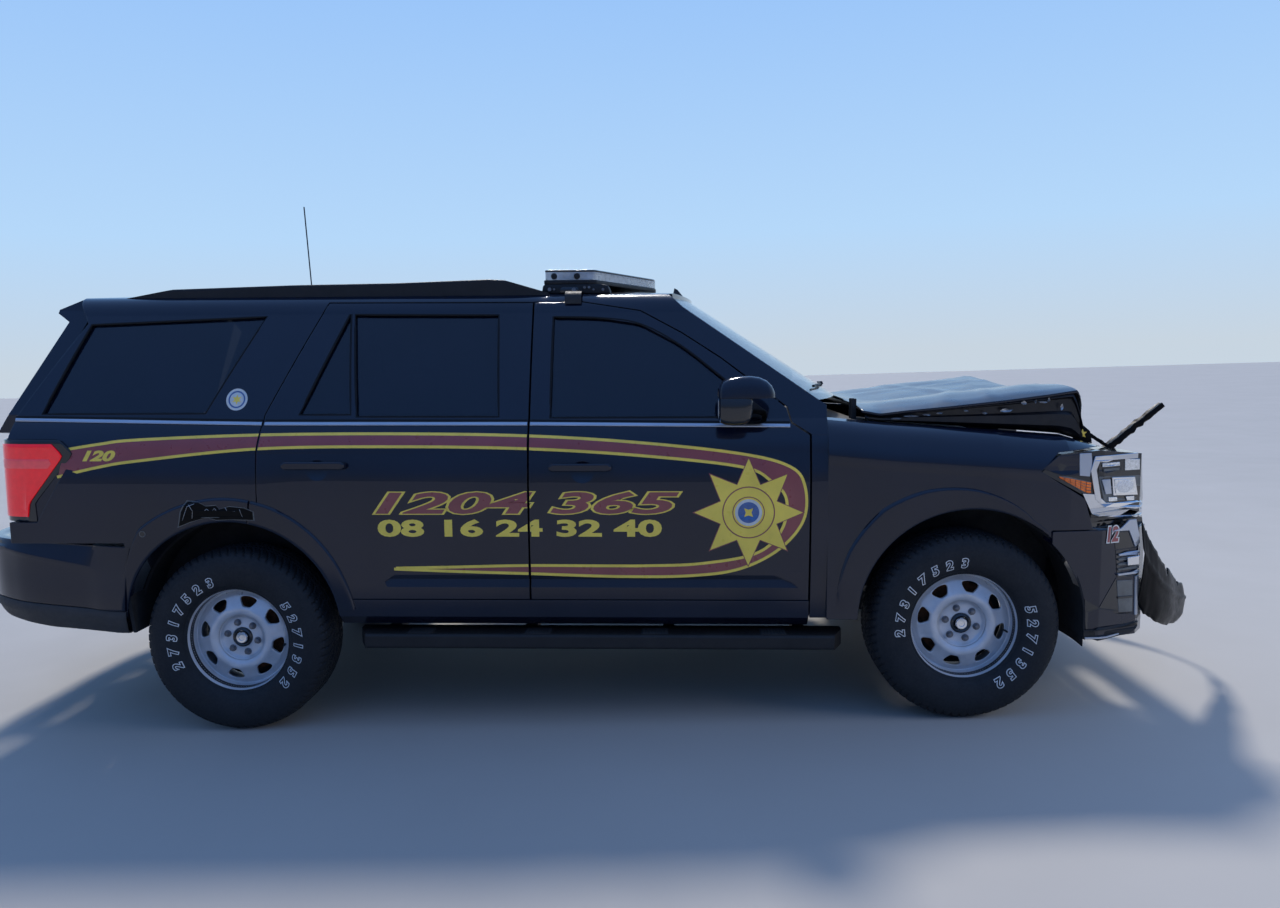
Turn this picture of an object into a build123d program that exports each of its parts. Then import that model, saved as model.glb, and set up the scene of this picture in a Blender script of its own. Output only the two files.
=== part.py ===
from build123d import *
import math
import os

# Full-size four-door body-on-frame SUV in police trim, standing on its wheels.
# Millimetres. +X is forwards, +Y is the vehicle's left, +Z is up.
# The origin is on the ground, midway between the axles, on the centreline.
# Everything that hangs on the springs is drawn level and is then set down nose-low
# by the measured rake. Wheels, tyres, knuckles and arms are drawn on the ground frame.

os.makedirs("parts", exist_ok=True)

# ---------------------------------------------------------------- driving sizes
rake_deg = 1.35            # nose-down attitude of the body
wheelbase = 3112.0
tyre_r = 401.5             # 265/70R17
tyre_y_in, tyre_y_out = 725.0, 990.0
bead_r = 216.0
rim_lip_r = 233.5
rim_y_in, rim_y_out = 757.0, 962.0
axle_z = 401.5
front_axle_x = wheelbase / 2
rear_axle_x = -wheelbase / 2
gap = 8.0                  # shut gap between outer panels
hinge_y = 992.0            # door hinge axis, distance from the centreline
hinge_pin_r = 5.0
hinge_play = 0.05
front_hinge_x = 812.0
rear_hinge_x = -347.0
front_shut_x = 889.0       # front edge of the front door, level frame
mid_shut_x = -282.0        # joint between the doors
door_bottom_z = 558.0
rear_arch = (-1566.0, 428.0, 465.0)    # x, z, radius in the level frame
front_arch = (1562.0, 471.0, 474.0)
kingpin_y = 800.0
spindle_r = 22.0

# outer body section on the right, (y, z) points: straight or three-point arc runs
SECTION_OUT = [
    ((-945, 440), (-985, 480)),
    ((-985, 480), (-1005, 720), (-1012, 900)),
    ((-1012, 900), (-1011, 1080), (-1000, 1180)),
    ((-1000, 1180), (-986, 1250), (-948, 1318)),
    ((-948, 1318), (-866, 1550), (-770, 1768)),
    ((-770, 1768), (-740, 1822), (-690, 1850)),
    ((-690, 1850), (-350, 1884), (0, 1895)),
]
SECTION_IN = [
    ((-880, 440), (-880, 1270)),
    ((-880, 1270), (-900, 1318)),
    ((-900, 1318), (-822, 1548), (-722, 1765)),
    ((-722, 1765), (-700, 1795), (-660, 1812)),
    ((-660, 1812), (-330, 1846), (0, 1857)),
]
# side-view outlines (x, z), level frame
FRONT_DOOR = [(mid_shut_x + gap / 2, door_bottom_z), (mid_shut_x + gap / 2, 1812), (-80, 1814), (181, 1772),
              (357, 1676), (521, 1569), (792, 1362), (812, 1298), (front_shut_x - gap / 2, 1250),
              (front_shut_x - gap / 2, door_bottom_z)]
REAR_DOOR = [(mid_shut_x - gap / 2, door_bottom_z), (-1100, door_bottom_z), (-1300, 800), (-1428, 872), (-1428, 1186), (-1405, 1340),
             (-1180, 1816), (mid_shut_x - gap / 2, 1811)]
FRONT_GLASS = [(-195, 1322), (-195, 1749), (8, 1743), (181, 1716), (352, 1625), (511, 1502), (700, 1350), (700, 1322)]
REAR_GLASS = [(-1016, 1329), (-1062, 1765), (-431, 1759), (-410, 1327)]
REAR_FIXED_GLASS = [(-1262, 1338), (-1085, 1765), (-1077, 1765), (-1040, 1338)]
QUARTER_GLASS = [(-2375, 1345), (-2225, 1729), (-1449, 1759), (-1665, 1345)]
# plan outline of the nose and of the tail (x, half width)
NOSE_PLAN = [(1650, 1013), (1910, 995), (2100, 958), (2290, 868), (2420, 640), (2500, 0)]
TAIL_PLAN = [(-2030, 1013), (-2427, 1002), (-2600, 962), (-2710, 850), (-2800, 480), (-2827, 0)]


def run(edges):
    for e in edges:
        if len(e) == 2:
            Line(*e)
        else:
            ThreePointArc(*e)


def wall(x0, x1):
    """Right-hand wall between the outer and inner sections."""
    with BuildPart() as w:
        with BuildSketch(Plane.YZ.offset(x0)):
            with BuildLine():
                run(SECTION_OUT[:6])
                run(SECTION_IN[:4])
                Line((-945, 440), (-880, 440))
                Line((-690, 1850), (-660, 1812))
            make_face()
        extrude(amount=x1 - x0)
    return w.part


def skin(x0, x1, t):
    """Right-hand outer skin and edge flange, t thick measured across the vehicle."""
    moved = [tuple((y + t, z) for y, z in e) for e in SECTION_OUT[:6]]
    with BuildPart() as w:
        with BuildSketch(Plane.YZ.offset(x0)):
            with BuildLine():
                run(SECTION_OUT[:6])
                run(moved)
                Line((-945, 440), (-945 + t, 440))
                Line((-690, 1850), (-690 + t, 1850))
            make_face()
        extrude(amount=x1 - x0)
    return w.part


def strip(x0, x1, depth, thick):
    """Thin sheet that follows the side glass, some way in from the skin."""
    n = (0.93, -0.37)
    pts = [(-960, 1280), (-948, 1318), (-866, 1550), (-770, 1768), (-757, 1795)]
    a = [(y + n[0] * depth, z + n[1] * depth) for y, z in pts]
    b = [(y + n[0] * (depth + thick), z + n[1] * (depth + thick)) for y, z in pts]
    with BuildPart() as s:
        with BuildSketch(Plane.YZ.offset(x0)):
            with BuildLine():
                Line(a[0], a[1])
                ThreePointArc(a[1], a[2], a[3])
                Line(a[3], a[4])
                Line(a[4], b[4])
                Line(b[4], b[3])
                ThreePointArc(b[3], b[2], b[1])
                Line(b[1], b[0])
                Line(b[0], a[0])
            make_face()
        extrude(amount=x1 - x0)
    return s.part


def prism(points, y0, y1):
    """Side-view outline (x, z) taken from y0 to y1."""
    with BuildPart() as p:
        with BuildSketch(Plane(origin=(0, y0, 0), x_dir=(1, 0, 0), z_dir=(0, -1, 0))):
            with BuildLine():
                Polyline(*points, close=True)
            make_face()
        extrude(amount=-(y1 - y0))
    return p.part


def plan_prism(points, z0, z1):
    """Plan outline (x, y) taken from z0 to z1."""
    with BuildPart() as p:
        with BuildSketch(Plane.XY.offset(z0)):
            with BuildLine():
                Polyline(*points, close=True)
            make_face()
        extrude(amount=z1 - z0)
    return p.part


def rod(p, q, r):
    """Round bar between two points."""
    d = Vector(*q) - Vector(*p)
    with BuildPart() as b:
        with BuildSketch(Plane(origin=p, z_dir=(d.X, d.Y, d.Z))):
            Circle(r)
        extrude(amount=d.length)
    return b.part


def block(x0, x1, y0, y1, z0, z1):
    with BuildPart() as b:
        with BuildSketch(Plane.XY.offset(z0)):
            with Locations(((x0 + x1) / 2, (y0 + y1) / 2)):
                Rectangle(x1 - x0, y1 - y0)
        extrude(amount=z1 - z0)
    return b.part


def arch_cut(arch, y0, y1, grow=0.0):
    """Round wheel opening with straight sides below its centre."""
    x, z, r = arch
    with BuildPart() as a:
        with BuildSketch(Plane(origin=(0, y0, 0), x_dir=(1, 0, 0), z_dir=(0, -1, 0))):
            with Locations((x, z)):
                Circle(r + grow)
            with Locations((x, z - 250)):
                Rectangle(2 * (r + grow), 500)
        extrude(amount=-(y1 - y0))
    return a.part


def plan_band(outline, inset, z0, z1):
    """Band behind a plan outline on the right side, inset thick."""
    pts = [(x, -w) for x, w in outline]
    cx = pts[0][0]
    inner = []
    for x, y in reversed(pts):
        s = 1 if x > 0 else -1
        inner.append((x - s * inset * (1 if abs(y) < 900 else 0.3), min(0, y + inset * (1 if abs(y) > 400 else 0))))
    return plan_prism(pts + inner, z0, z1)


def set_down(shape):
    """From the level body frame to the attitude on the road."""
    return shape.rotate(Axis.Y, rake_deg)


def save(shape, name):
    shape.label = name
    export_step(shape, f"parts/{name}.step")


# ---------------------------------------------------------------- body sides
door_hole_front = prism([(mid_shut_x, door_bottom_z - 4), (mid_shut_x, 1816), (-80, 1818), (183, 1776), (360, 1680),
                         (524, 1573), (798, 1366), (816, 1302), (front_shut_x + 4, 1254), (front_shut_x + 4, door_bottom_z - 4)],
                        -1100, -450)
door_hole_rear = prism([(mid_shut_x + 1, door_bottom_z - 4), (-1100, door_bottom_z - 4), (-1300, 760), (-1432, 860),
                        (-1432, 1186), (-1409, 1341), (-1183, 1820), (mid_shut_x + 1, 1815)], -1100, -450)
side_outline = prism([(960, 440), (960, 1372), (364, 1790), (250, 1900), (-2300, 1900), (-2300, 1840), (-2240, 1734),
                      (-2483, 1339), (-2500, 1240), (-2500, 440)], -1100, -450)
HINGES_FRONT = [690.0, 1085.0]
HINGES_REAR = [690.0, 1085.0]


def hinge_body(x, z):
    """Pillar half of one hinge: a plate with its upright pin."""
    with BuildPart() as h:
        with BuildSketch(Plane.XY.offset(z - 7)):
            with BuildLine():
                Polyline((x - 8, -hinge_y), (x + 8, -hinge_y), (x + 8, -hinge_y + 67), (x + 50, -890), (x - 8, -890), close=True)
            make_face()
            with Locations((x, -hinge_y)):
                Circle(8)
        extrude(amount=14)
        with BuildSketch(Plane.XY.offset(z - 24)):
            with Locations((x, -hinge_y)):
                Circle(hinge_pin_r)
        extrude(amount=48)
    return h.part


with BuildPart() as body_side_right:
    add(wall(-2520, 960))
    add(side_outline, mode=Mode.INTERSECT)
    add(door_hole_front, mode=Mode.SUBTRACT)
    add(door_hole_rear, mode=Mode.SUBTRACT)
    add(prism(QUARTER_GLASS, -1100, -450), mode=Mode.SUBTRACT)
    add(arch_cut(rear_arch, -1100, -450), mode=Mode.SUBTRACT)
    add(block(front_shut_x - 1, 1000, -1100, -860, 430, 1250), mode=Mode.SUBTRACT)
    # recesses for the tail lamp and the bumper corner
    add(prism([(-2214, 1165), (-2285, 1241), (-2600, 1241), (-2600, 890), (-2380, 890)], -1100, -450), mode=Mode.SUBTRACT)
    add(block(-2600, -2010, -1100, -850, 400, 800), mode=Mode.SUBTRACT)
    # sill box inboard of the doors
    add(block(-1085, 905, -905, -800, 470, 556))
    add(block(-1085, 905, -865, -800, 540, 640))
    # hinge pillar and centre pillar stand inboard of the doors
    add(block(835, 905, -905, -800, 470, 1290))
    add(prism([(835, 1270), (905, 1270), (905, 1372), (835, 1372)], -915, -840))
    with BuildSketch(Plane.YZ.offset(-340)):
        with BuildLine():
            Polyline((-905, 470), (-905, 1262), (-868, 1330), (-694, 1785), (-690, 1850), (-620, 1840), (-640, 1770),
                     (-800, 1330), (-800, 470), close=True)
        make_face()
    extrude(amount=78)
    # rail above the doors, inboard
    with BuildSketch(Plane.YZ.offset(-1300)):
        with BuildLine():
            Polyline((-715, 1826), (-640, 1850), (-580, 1800), (-640, 1755), (-690, 1795), close=True)
        make_face()
    extrude(amount=1480)
    for z in HINGES_FRONT:
        add(hinge_body(front_hinge_x, z))
    for z in HINGES_REAR:
        add(hinge_body(rear_hinge_x, z))

with BuildPart() as body_side_left:
    mirror(body_side_right.part, about=Plane.XZ)

with BuildPart() as roof_skin:
    with BuildSketch(Plane.YZ.offset(-2300)):
        with BuildLine():
            Line((-690, 1850), (-660, 1812))
            ThreePointArc((-690, 1850), (0, 1895), (690, 1850))
            Line((690, 1850), (660, 1812))
            ThreePointArc((660, 1812), (0, 1857), (-660, 1812))
        make_face()
    extrude(amount=2300 + 440)
    # header over the windshield, where the crown runs out
    add(block(240, 440, -560, 560, 1812, 1870))
    with BuildSketch(Plane(origin=(0, -1000, 0), x_dir=(1, 0, 0), z_dir=(0, -1, 0))):
        with BuildLine():
            ThreePointArc((-2330, 1848), (-800, 1897), (440, 1845))
            Polyline((440, 1845), (440, 1700), (-2330, 1700), (-2330, 1848))
        make_face()
    extrude(amount=-2000, mode=Mode.INTERSECT)
    # the front edge bows with the top of the windshield
    with BuildSketch(Plane.XY.offset(1600)):
        with BuildLine():
            ThreePointArc((282, -800), (418, 0), (282, 800))
            Polyline((282, 800), (-2600, 800), (-2600, -800), (282, -800))
        make_face()
    extrude(amount=400, mode=Mode.INTERSECT)
    add(body_side_right.part, mode=Mode.SUBTRACT)
    add(body_side_left.part, mode=Mode.SUBTRACT)


# ---------------------------------------------------------------- doors
def door(outline, inner, hinge_x, edge_x, hinge_zs, windows, handle, arch_grow):
    x0 = min(x for x, z in outline) - 20
    x1 = max(x for x, z in outline) + 20
    box_part = wall(x0, x1) & prism(inner, -1100, -450)
    with BuildPart() as d:
        add(skin(x0, x1, 16))
        add(prism(outline, -1100, -450), mode=Mode.INTERSECT)
        if arch_grow is not None:
            add(arch_cut(rear_arch, -1100, -450), mode=Mode.SUBTRACT)
            box_part = box_part - arch_cut(rear_arch, -1100, -450, arch_grow)
        add(box_part)
        for w in windows:
            add(prism(w, -1100, -450), mode=Mode.SUBTRACT)
        for z in hinge_zs:
            for dz in (8, -23):
                with BuildSketch(Plane.XY.offset(z + dz)):
                    with Locations((hinge_x, -hinge_y)):
                        Circle(9.5)
                extrude(amount=15)
            add(block(hinge_x - 30, edge_x + 10, -1001, -870, z - 8, z + 8), mode=Mode.SUBTRACT)
            with BuildSketch(Plane.XY.offset(z - 25)):
                with Locations((hinge_x, -hinge_y)):
                    Circle(hinge_pin_r + hinge_play)
            extrude(amount=50, mode=Mode.SUBTRACT)
        # long scallop low in the door skins
        add(door_scallop, mode=Mode.SUBTRACT)
        # pull handle on two feet, over a shallow finger dish
        hx0, hx1, hz = handle
        with Locations(((hx0 + hx1) / 2 + 8, -1156, hz - 8)):
            Sphere(155, mode=Mode.SUBTRACT)
        add(pull_handle(hx0, hx1, hz))
    return d.part


def pull_handle(x0, x1, z):
    with BuildPart() as h:
        add(prism([(x0, z - 7), (x0 + 14, z - 17), (x1 - 14, z - 17), (x1, z - 7), (x1, z + 7), (x1 - 14, z + 17), (x0 + 14, z + 17), (x0, z + 7)], -1040, -1021))
        fillet(h.faces().sort_by(Axis.Y)[0].edges(), radius=7)
        add(block(x0 + 4, x0 + 46, -1030, -1000, z - 12, z + 12))
        add(block(x1 - 46, x1 - 4, -1030, -1000, z - 12, z + 12))
    return h.part


with BuildPart() as scallop_bar:
    with BuildSketch(Plane.YZ.offset(-900)):
        with BuildLine():
            Polyline((-1030, 674), (-1003, 667), (-991, 645), (-998, 606), (-1030, 600), close=True)
        make_face()
    extrude(amount=1760)
    # tapered ends
    add(prism([(-900, 634), (-850, 668), (-780, 680), (600, 680), (740, 664), (815, 632), (845, 610), (820, 598), (-860, 598), (-892, 612)], -1100, -900),
        mode=Mode.INTERSECT)
door_scallop = scallop_bar.part

front_inner = [(-250, 590), (-250, 1786), (-82, 1788), (170, 1748), (340, 1655), (500, 1550), (755, 1355), (775, 1290),
               (785, 1240), (785, 590)]
rear_inner = [(-377, 590), (-377, 1300), (-354, 1340), (-354, 1786), (-1160, 1788), (-1372, 1335), (-1395, 1186),
              (-1395, 860), (-1280, 760), (-1080, 590)]
with BuildPart() as front_door_right:
    add(door(FRONT_DOOR, front_inner, front_hinge_x, front_shut_x - 4, HINGES_FRONT, [FRONT_GLASS], (-194, 68, 1122), None))
with BuildPart() as rear_door_right:
    add(door(REAR_DOOR, rear_inner, rear_hinge_x, mid_shut_x - 4, HINGES_REAR, [REAR_GLASS, REAR_FIXED_GLASS],
             (-1312, -1044, 1132), 30))
with BuildPart() as front_door_left:
    mirror(front_door_right.part, about=Plane.XZ)
with BuildPart() as rear_door_left:
    mirror(rear_door_right.part, about=Plane.XZ)
glass_sheet = strip(-2500, 850, 14, 5)
with BuildPart() as front_door_glass_right:
    add(glass_sheet)
    add(prism(FRONT_GLASS, -1100, -450), mode=Mode.INTERSECT)
with BuildPart() as rear_door_glass_right:
    add(glass_sheet & prism(REAR_GLASS, -1100, -450))
    add(glass_sheet & prism(REAR_FIXED_GLASS, -1100, -450))
with BuildPart() as front_door_glass_left:
    mirror(front_door_glass_right.part, about=Plane.XZ)
with BuildPart() as rear_door_glass_left:
    mirror(rear_door_glass_right.part, about=Plane.XZ)
with BuildPart() as quarter_windows:
    add(glass_sheet & prism(QUARTER_GLASS, -1100, -450))
    mirror(glass_sheet & prism(QUARTER_GLASS, -1100, -450), about=Plane.XZ)

with BuildPart() as mirror_right:
    with BuildSketch(Plane.XZ.offset(1003)):
        with BuildLine():
            Polyline((504, 1345), (508, 1450), (535, 1486), (600, 1498), (668, 1494), (722, 1455), (732, 1400), (712, 1320), (680, 1303), (610, 1300),
                     (530, 1312), close=True)
        make_face()
    extrude(amount=155)
    fillet(mirror_right.faces().sort_by(Axis.Y)[0].edges(), radius=16)
    add(block(590, 690, -1010, -938, 1320, 1350))
    add(front_door_right.part, mode=Mode.SUBTRACT)
with BuildPart() as mirror_left:
    mirror(mirror_right.part, about=Plane.XZ)

# ---------------------------------------------------------------- glass front and rear
screen_rise = (-700, 0, 450)
with BuildPart() as windshield_blank:
    with BuildSketch(Plane.XY.offset(1385)):
        with BuildLine():
            ThreePointArc((945, -862), (1120, 0), (945, 862))
            Line((945, 862), (936, 862))
            ThreePointArc((936, 862), (1111, 0), (936, -862))
            Line((936, -862), (945, -862))
        make_face()
    extrude(amount=832, dir=screen_rise)
    add(block(200, 1200, -1000, 1000, 1390, 1842), mode=Mode.INTERSECT)
    add(body_side_right.part, mode=Mode.SUBTRACT)
    add(body_side_left.part, mode=Mode.SUBTRACT)
    add(roof_skin.part, mode=Mode.SUBTRACT)
with BuildPart() as windshield:
    add(windshield_blank.solids().sort_by(SortBy.VOLUME)[-1])

liftgate_axis = (-2292.0, 1846.0)      # x, z of the liftgate hinge line
LIFTGATE = [(-2306, 1846), (-2420, 1800), (-2424, 1784), (-2368, 1745), (-2572, 1340), (-2640, 1235), (-2650, 812), (-2560, 812),
            (-2555, 1225), (-2480, 1335), (-2262, 1790), (-2306, 1800)]
gate_front_outline = [(-735, 812), (735, 812), (735, 1246), (868, 1262), (868, 1340), (700, 1795), (690, 1850), (-690, 1850),
                      (-700, 1795), (-868, 1340), (-868, 1262), (-735, 1246)]
with BuildPart() as liftgate_blank:
    add(prism(LIFTGATE, -1000, 1000))
    with BuildSketch(Plane.YZ.offset(-2700)):
        with BuildLine():
            Polyline(*gate_front_outline, close=True)
        make_face()
    extrude(amount=600, mode=Mode.INTERSECT)
    with BuildSketch(Plane.YZ.offset(-2700)):
        with BuildLine():
            Polyline((-800, 1352), (800, 1352), (655, 1735), (-655, 1735), close=True)
        make_face()
    extrude(amount=600, mode=Mode.SUBTRACT)
    # number plate recess and the two hinge eyes
    add(block(-2700, -2632, -300, 300, 900, 1080), mode=Mode.SUBTRACT)
    for y in (-420, 420):
        for s in (-1, 1):
            add(block(-2345, -2240, y + s * 40 - 10, y + s * 40 + 10, 1795, 1890), mode=Mode.SUBTRACT)
        with BuildSketch(Plane(origin=(0, y - 30, 0), x_dir=(1, 0, 0), z_dir=(0, -1, 0))):
            with Locations(liftgate_axis):
                Circle(12)
        extrude(amount=-60)
        with BuildSketch(Plane(origin=(0, y - 32, 0), x_dir=(1, 0, 0), z_dir=(0, -1, 0))):
            with Locations(liftgate_axis):
                Circle(6.05)
        extrude(amount=-64, mode=Mode.SUBTRACT)
    add(body_side_right.part, mode=Mode.SUBTRACT)
    add(body_side_left.part, mode=Mode.SUBTRACT)
with BuildPart() as liftgate:
    add(liftgate_blank.solids().sort_by(SortBy.VOLUME)[-1])

with BuildPart() as liftgate_glass:
    with BuildSketch(Plane(origin=(0, -1000, 0), x_dir=(1, 0, 0), z_dir=(0, -1, 0))):
        with BuildLine():
            Polyline((-2373, 1735), (-2366, 1352 + 383), (-2553, 1352), (-2560, 1352), close=True)
        make_face()
    extrude(amount=-2000)
    with BuildSketch(Plane.YZ.offset(-2700)):
        with BuildLine():
            Polyline((-800, 1352), (800, 1352), (655, 1735), (-655, 1735), close=True)
        make_face()
    extrude(amount=600, mode=Mode.INTERSECT)

# hinge pins of the liftgate sit in the roof's rear edge
with BuildPart() as roof_panel:
    add(roof_skin.part)
    for y in (-420, 420):
        add(block(-2330, -2270, y - 34, y + 34, 1780, 1890), mode=Mode.SUBTRACT)
        for s in (-1, 1):
            add(block(-2310, -2260, y + s * 39 - 5, y + s * 39 + 5, 1828, 1862))
        with BuildSketch(Plane(origin=(0, y - 40, 0), x_dir=(1, 0, 0), z_dir=(0, -1, 0))):
            with Locations(liftgate_axis):
                Circle(6)
        extrude(amount=-80)

# ---------------------------------------------------------------- front end
FENDER_TOP = [(960, 1318), (1206, 1294), (1445, 1278), (1674, 1262), (1957, 1239), (2150, 1182)]


def fender_section(x, top, w, t):
    with BuildSketch(Plane.YZ.offset(x)) as sk:
        with BuildLine():
            Line((-w + 20, 440), (-w, 480))
            Line((-w, 480), (-w, top - 190))
            ThreePointArc((-w, top - 190), (-w + 22, top - 70), (-w + 95, top - 8))
            Line((-w + 95, top - 8), (-w + 150, top))
            Line((-w + 150, top), (-w + 150, top - 40))
            Line((-w + 150, top - 40), (-w + 80, top - 110))
            Line((-w + 80, top - 110), (-w + t, 480))
            Line((-w + t, 480), (-w + t, 440))
            Line((-w + t, 440), (-w + 20, 440))
        make_face()
    return sk.sketch


def fender():
    with BuildPart() as f:
        for (xa, za), (xb, zb) in zip(FENDER_TOP[:-1], FENDER_TOP[1:]):
            wa = 1010 if xa < 1900 else 985
            wb = 1010 if xb < 1900 else (985 if xb < 2100 else 950)
            loft([fender_section(xa, za, wa, 80), fender_section(xb, zb, wb, 80)], ruled=True)
        add(wall(front_shut_x + 4, 961) & prism([(870, 440), (870, 1372), (1000, 1372), (1000, 440)], -1100, -900))
        add(prism([(front_shut_x + 4, 480), (front_shut_x + 4, 1250), (818, 1304), (806, 1366), (960, 1372), (1111, 1372),
                   (1206, 1300), (1974, 1242), (2160, 1195), (2160, 1187), (2078, 1187), (1908, 1174), (1828, 1098),
                   (2020, 982), (2060, 852), (1884, 852), (1884, 480)], -1100, -450), mode=Mode.INTERSECT)
        add(arch_cut(front_arch, -1100, -450), mode=Mode.SUBTRACT)
    return f.part


hood_axis = (1112.0, 1380.0)
with BuildPart() as cowl_and_firewall:
    # firewall and the plenum under the windshield, with the hood's hinge brackets
    add(prism([(905, 620), (905, 1180), (925, 1180), (925, 620)], -795, 795))
    add(prism([(905, 1160), (905, 1240), (1040, 1300), (1122, 1300), (1122, 1180), (1080, 1180), (1080, 1275), (1045, 1275), (925, 1215), (925, 1160)],
              -835, 835))
    for s in (-1, 1):
        for o in (-25, 25):
            add(block(1100, 1122, s * 700 + o - 4, s * 700 + o + 4, 1290, 1388))
        with BuildSketch(Plane(origin=(0, s * 700 - 29, 0), x_dir=(1, 0, 0), z_dir=(0, -1, 0))):
            with Locations(hood_axis):
                Circle(5)
        extrude(amount=-58)

with BuildPart() as fender_right:
    add(fender())
    add(body_side_right.part, mode=Mode.SUBTRACT)
    add(cowl_and_firewall.part, mode=Mode.SUBTRACT)
with BuildPart() as fender_left:
    mirror(fender_right.part, about=Plane.XZ)

# the hood is unlatched and buckled: its front edge stands up and its nose is folded down
HOOD = [(1130, 855, 1345, 1372, 1384), (1200, 856, 1330, 1368, 1354), (1307, 858, 1343, 1381, 1334), (1479, 861, 1359, 1401, 1354),
        (1731, 862, 1386, 1429, 1382), (1900, 860, 1408, 1448, 1402), (2022, 846, 1425, 1454, 1414)]   # x, half width, edge z, shoulder z, centre z


def hood_line(w, ze, zs, zc, drop):
    half_line = [(-w, ze), (-w + 90, ze + 0.62 * (zs - ze)), (-600, zs), (-300, (zs + zc) / 2), (0, zc)]
    pts = half_line + [(-y, z) for y, z in reversed(half_line[:-1])]
    return [(y, z - drop) for y, z in pts]


def hood_section(x, w, ze, zs, zc, t=20):
    top = hood_line(w, ze, zs, zc, 0)
    low = hood_line(w, ze, zs, zc, t)
    with BuildSketch(Plane.YZ.offset(x)) as sk:
        with BuildLine():
            Polyline(*top)
            Line(top[-1], low[-1])
            Polyline(*reversed(low))
            Line(low[0], top[0])
        make_face()
    return sk.sketch


with BuildPart() as hood:
    for a, b in zip(HOOD[:-1], HOOD[1:]):
        loft([hood_section(*a), hood_section(*b)], ruled=True)
    add(prism([(2000, 1398), (2004, 1424), (2022, 1428), (2042, 1392), (2070, 1240), (2048, 1240), (2020, 1388)], -800, 800))
    for s in (-1, 1):
        add(block(1112, 1160, s * 700 - 15, s * 700 + 15, 1352, 1380))
        with BuildSketch(Plane(origin=(0, s * 700 - 20, 0), x_dir=(1, 0, 0), z_dir=(0, -1, 0))):
            with Locations(hood_axis):
                Circle(9)
        extrude(amount=-40)
        with BuildSketch(Plane(origin=(0, s * 700 - 22, 0), x_dir=(1, 0, 0), z_dir=(0, -1, 0))):
            with Locations(hood_axis):
                Circle(5.05)
        extrude(amount=-44, mode=Mode.SUBTRACT)

with BuildPart() as front_structure:
    for s in (-1, 1):
        y0 = -515 if s < 0 else 500
        add(prism([(925, 640), (925, 1180), (1100, 1240), (2000, 1160), (2250, 1100), (2250, 640), (2000, 560), (1100, 560)], y0, y0 + 15))
        ya, yb = (-860, -515) if s < 0 else (515, 860)
        add(prism([(1100, 1216), (1100, 1240), (2000, 1160), (2000, 1136)], ya, yb))
    add(cowl_and_firewall.part, mode=Mode.SUBTRACT)
    add(block(2270, 2310, -700, 700, 470, 520))
    add(block(2270, 2310, -700, 700, 1080, 1120))
    for y in (-700, 660):
        add(block(2270, 2310, y, y + 40, 470, 1120))
    add(block(2278, 2302, -655, 655, 515, 1085))
    for y in (-470, 420):
        add(block(2190, 2340, y, y + 50, 580, 660), mode=Mode.SUBTRACT)

with BuildPart() as headlights:
    lamp = prism([(1832, 1094), (1912, 1168), (2078, 1181), (2290, 1160), (2343, 958), (2311, 905), (2040, 982)], -1100, -640)
    add(lamp & plan_band([(1650, 1000), (1910, 988), (2100, 955), (2290, 870), (2360, 760), (2400, 650)], 150, 880, 1200))
    add(fender_right.part, mode=Mode.SUBTRACT)
    add(front_structure.part, mode=Mode.SUBTRACT)
    mirror(headlights.part, about=Plane.XZ)

with BuildPart() as front_bumper:
    corner = plan_band([(1884, 1000), (2100, 962), (2290, 880), (2350, 800)], 60, 388, 848)
    add(corner)
    add(arch_cut((1556, 440, 484), -1100, -450), mode=Mode.SUBTRACT)
    add(fender_right.part, mode=Mode.SUBTRACT)
    mirror(front_bumper.part, about=Plane.XZ)
    # steel beam behind the cover
    add(block(2330, 2400, -640, 640, 560, 680))
    for y in (-470, 420):
        add(block(2200, 2340, y, y + 50, 580, 660))
with BuildPart() as bumper_cover:
    # the torn cover sags forwards, away from its beam
    cover = prism([(2300, 880), (2377, 755), (2521, 612), (2755, 462), (2830, 445), (2830, 372), (2727, 353), (2608, 356),
                   (2441, 406), (2300, 525)], -900, 900)
    path = [(2300, -890), (2400, -830), (2540, -690), (2700, -480), (2804.218, -200), (2795, 60), (2700, 330), (2560, 560), (2400, 800), (2300, 880)]
    back = [(2290, 850), (2380, 775), (2535, 540), (2672, 310), (2765, 55), (2774, -190), (2675, -460), (2518, -668), (2385, -802), (2290, -862)]
    add(plan_prism(path + back, 340, 900))
    add(cover, mode=Mode.INTERSECT)
    add(front_bumper.part, mode=Mode.SUBTRACT)

with BuildPart() as grille_remains:
    # broken black trim of the missing grille, a short arm lying down and a long one standing up
    add(rod((2105, -620, 1262), (2270, -612, 1166), 9))
    with BuildSketch(Plane(origin=(2250, -600, 1150), x_dir=(0, 1, 0), z_dir=(0.766, 0, 0.643))):
        Rectangle(46, 30)
    extrude(amount=322)
    add(block(2205, 2310, -632, -565, 1120.5, 1168))
    # two slats still hanging on the radiator support
    add(prism([(2311, 960), (2340, 950), (2340, 966), (2311, 976)], -600, 420))
    add(prism([(2311, 860), (2345, 850), (2345, 866), (2311, 876)], -600, 180))

screen_r = 2210.6


def screen_point(y, z, off):
    """Point a little in front of the windshield's outer face."""
    x = 1120 - (screen_r - math.sqrt(screen_r ** 2 - y * y)) - 1.5556 * (z - 1385)
    return (x + 0.541 * off, y, z + 0.841 * off)


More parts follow.
